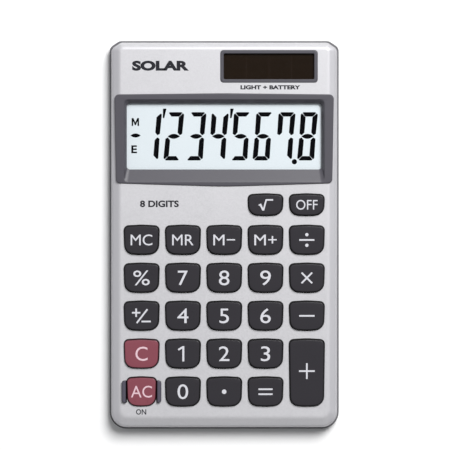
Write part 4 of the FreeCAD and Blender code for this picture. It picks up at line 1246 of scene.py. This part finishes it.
@dataclass
class SolarUnit:
    """Solar cell behind its clear plate, in a thin frame."""

    left: float = -1.16
    right: float = 28.4
    low: float = 46.325
    high: float = 56.175
    corner: float = 1.0
    rim: float = 1.0
    inner_corner: float = 0.4
    seat: float = 6.3
    top: float = 7.2

    def path(self, shrink: float, corner: float) -> np.ndarray:
        """Frame outline drawn in by a distance."""
        return box_path(self.left + shrink, self.right - shrink, self.low + shrink, self.high - shrink,
                        corner)

    def build(self) -> bpy.types.Mesh:
        """Frame: outer wall, softly rounded rim, inner wall."""
        outer, inner = self.path(0.0, self.corner), self.path(self.rim, self.inner_corner)
        across = self.path(self.rim / 2, (self.corner + self.inner_corner) / 2)
        rings = [at(inner, self.seat), *soft_edge(
            at(inner, self.seat), at(inner, self.top), at(across, self.top), 0.15, 0.15, 3)]
        rings += soft_edge(at(across, self.top), at(outer, self.top), at(outer, self.seat), 0.22, 0.22, 4)
        rings += [at(outer, self.seat), at(inner, self.seat)]
        draft = Draft()
        draft.loft(rings)
        return draft.mesh("solar_frame")

    def dress(self) -> None:
        """Put the frame and its plate on the case, and dress the cell and its leads."""
        install("solar_surround", self.build(), Paint.FRAME, replaces=["solar_frame"])
        low, high = span("solar_window")
        rings = [at(self.path(self.rim + 0.05, self.inner_corner), z) for z in (low[2] + 0.02, high[2])]
        install("solar_pane", Draft().closed(rings).mesh("pane"), Paint.WINDOW,
                replaces=["solar_window"])
        for node, finish in (("solar_cell", Paint.CELL), ("solar_lead_red", Paint.LEAD_RED),
                             ("solar_lead_black", Paint.LEAD_BLACK)):
            dress(node, finish)


# ---------------------------------------------------------------- inside

@dataclass
class KeyMat:
    """Silicone mat, a hollow dome under every key, and the pill that each dome drives down."""

    keys: list[KeyCap]
    low: float = 3.2
    top: float = 3.7
    dome_top: float = 4.7
    base_radius: float = 3.5
    roof_radius: float = 2.3
    wall: float = 0.5
    roof: float = 0.45
    pill_radius: float = 1.6
    pill_thickness: float = 0.25
    pin_radius: float = 0.85
    pin_columns: tuple[float, ...] = (-18.825, 6.275)
    pin_rows: tuple[float, ...] = (-7.28, -41.84)
    step: float = 4.24
    keep: float = 0.2

    def sheet(self) -> bpy.types.Mesh:
        """Flat mat with an opening under every dome and round every locating pin."""
        low, high = span("key_mat")
        side, inner = high[0], self.pin_columns[-1]
        edge = rounded([
            (-side, low[1], .3), (side, low[1], .3), (side, high[1], .3), (inner, high[1], .3),
            (inner, self.step, .1), (-side, self.step, .3),
        ], 3)
        holes = [circle(key.x, key.y, self.base_radius - self.wall, 24) for key in self.keys]
        holes += [circle(x, y, self.pin_radius, 16) for x in self.pin_columns for y in self.pin_rows]
        return Draft().slab(self.low, self.top, edge, *holes).mesh("mat_sheet")

    def dome(self, key: KeyCap) -> bpy.types.Mesh:
        """Hollow dome: a profile of radius against height, turned about the key's axis."""
        inner_top = self.dome_top - self.roof
        profile = (
            (self.base_radius - self.wall, self.top), (self.base_radius, self.top),
            (self.roof_radius + 0.25, self.dome_top - 0.2), (self.roof_radius, self.dome_top),
        )
        under = ((self.base_radius - self.wall, self.top), (self.roof_radius - self.wall, inner_top))
        draft = Draft()
        rings = [at(circle(key.x, key.y, radius, 28), z) for radius, z in profile]
        draft.loft(rings)
        draft.plate(rings[-1])
        rings = [at(circle(key.x, key.y, radius, 28), z) for radius, z in under]
        draft.loft(rings)
        draft.plate(rings[-1])
        return draft.mesh("dome")

    def dress(self) -> None:
        """Put the mat and a dome under every key on the case, and ride each pill on its key."""
        install("mat_sheet", self.sheet(), Paint.SILICONE, replaces=["key_mat"])
        pill_low = self.dome_top - self.roof - self.pill_thickness
        for key in self.keys:
            name = key.spec.name.removeprefix("key_")
            dome = install(f"dome_{name}", self.dome(key), Paint.SILICONE,
                           replaces=["key_mat"])
            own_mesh(dome)
            disc = circle(key.x, key.y, self.pill_radius, 20)
            pill = Draft().closed([at(disc, z) for z in (pill_low, pill_low + self.pill_thickness)])
            install(f"pill_{name}", pill.mesh("pill"), Paint.CARBON, key.spec.name,
                    ["carbon_pills"])


@dataclass
class Electronics:
    """Board, soldered parts and button cell, kept as the frame has them."""

    finishes: dict[str, Finish] = field(default_factory=lambda: {
        "main_board": Paint.BOARD, "chip_blob": Paint.RESIN, "buffer_capacitor": Paint.TAN,
        "limiter_led": Paint.NYLON, "blocking_diode": Paint.BLACK, "board_screws": Paint.SCREW,
        "battery_can": Paint.STEEL, "battery_cap": Paint.STEEL, "battery_gasket": Paint.NYLON,
        "battery_contact_negative": Paint.STEEL, "battery_contact_positive": Paint.STEEL,
    })

    def dress(self) -> None:
        """Dress every part inside the case."""
        for node, finish in self.finishes.items():
            dress(node, finish)


@dataclass
class FacePrint:
    """Generic words printed on the face."""

    face: float = 7.0
    words: dict[str, Word] = field(default_factory=lambda: {
        "print_name": Word("SOLAR", -19.35, 51.65, 3.0, 17.3, 0.055),
        "print_power": Word("LIGHT + BATTERY", 14.05, 44.95, 1.25, 18.2, 0.05),
        "print_digits": Word("8 DIGITS", -19.7, 9.55, 2.0, 11.8, 0.035),
        "print_on": Word("ON", -25.25, -53.75, 1.65, 3.1, 0.02),
    })

    def dress(self) -> None:
        """Print every word on the case."""
        for name, word in self.words.items():
            install(name, word.mesh(self.face - 0.01, self.face + 0.006), Paint.INK_DARK)


# ---------------------------------------------------------------- studio

@dataclass
class Studio:
    """Plain pale floor, a soft light, and a camera that looks straight down."""

    floor_half: float = 3.0
    camera_x: float = 0.25
    camera_y: float = 3.02
    camera_height: float = 767.0
    lens_mm: float = 200.0
    sky: float = 0.25
    sky_lean: float = 0.2
    lamp_place: tuple[float, float, float] = (0.36, 0.60, 0.92)
    lamp_side: float = 0.6
    lamp_power: float = 18.0

    def floor(self) -> None:
        """Floor: one large flat square with a matt, slightly mottled finish."""
        half = self.floor_half / MM
        draft = Draft()
        draft.plate(at(box_path(-half, half, -half, half, 100.0), -0.01))
        mesh = draft.mesh("floor")
        material = Finish("floor_paper", (0.93, 0.93, 0.93), 0.9, tone=0.01, scale=200, relief=0.0)
        mesh.materials.append(material.material())
        if mesh.polygons[0].normal.z < 0:
            mesh.flip_normals()
        floor = bpy.data.objects.new("floor", mesh)
        bpy.context.scene.collection.objects.link(floor)

    def light(self, name: str, place: tuple[float, float, float], size: float, power: float) -> None:
        """A square soft light that faces the origin.

        Args:
            name: Its name.
            place: Where it hangs, in metres.
            size: Its side, in metres.
            power: Its power, in watts.
        """
        lamp = bpy.data.lights.new(name, "AREA")
        lamp.size, lamp.energy = size, power
        holder = bpy.data.objects.new(name, lamp)
        holder.location = place
        holder.rotation_euler = (-Vector(place)).to_track_quat("-Z", "Y").to_euler()
        bpy.context.scene.collection.objects.link(holder)

    def build(self) -> None:
        """Floor, sky, lights and camera."""
        self.floor()
        scene = bpy.context.scene
        world = bpy.data.worlds.new("studio")
        world.use_nodes = True
        back = world.node_tree.nodes["Background"]
        shader = Shader(world.node_tree)
        across = shader.add("SeparateXYZ", {0: shader.add("TexCoord").outputs["Generated"]}).outputs[0]
        back.inputs["Color"].default_value = (0.97, 0.98, 1.0, 1.0)
        world.node_tree.links.new(
            shader.math("MULTIPLY_ADD", across, -self.sky_lean, self.sky), back.inputs["Strength"])
        scene.world = world
        self.light("key_light", self.lamp_place, self.lamp_side, self.lamp_power)
        lens = bpy.data.cameras.new("camera")
        lens.lens, lens.sensor_width = self.lens_mm, 36.0
        lens.clip_start, lens.clip_end = 0.05, 20.0
        camera = bpy.data.objects.new("camera", lens)
        camera.location = (self.camera_x * MM, self.camera_y * MM, self.camera_height * MM)
        scene.collection.objects.link(camera)
        scene.camera = camera
        scene.view_settings.view_transform = "Standard"


def main() -> None:
    """Build every sub-assembly in order."""
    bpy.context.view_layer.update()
    keys = [KeyCap(spec) for spec in KEYS]
    case = Case(keys)
    case.dress()
    CaseScrews(case.screws()).dress()
    GuardRails().dress()
    DisplayFrame().dress()
    Display().dress()
    SolarUnit().dress()
    for key in keys:
        key.dress()
    KeyMat(keys).dress()
    Electronics().dress()
    FacePrint().dress()
    Studio().build()
    bpy.context.view_layer.update()


if __name__ == "__main__":
    main()
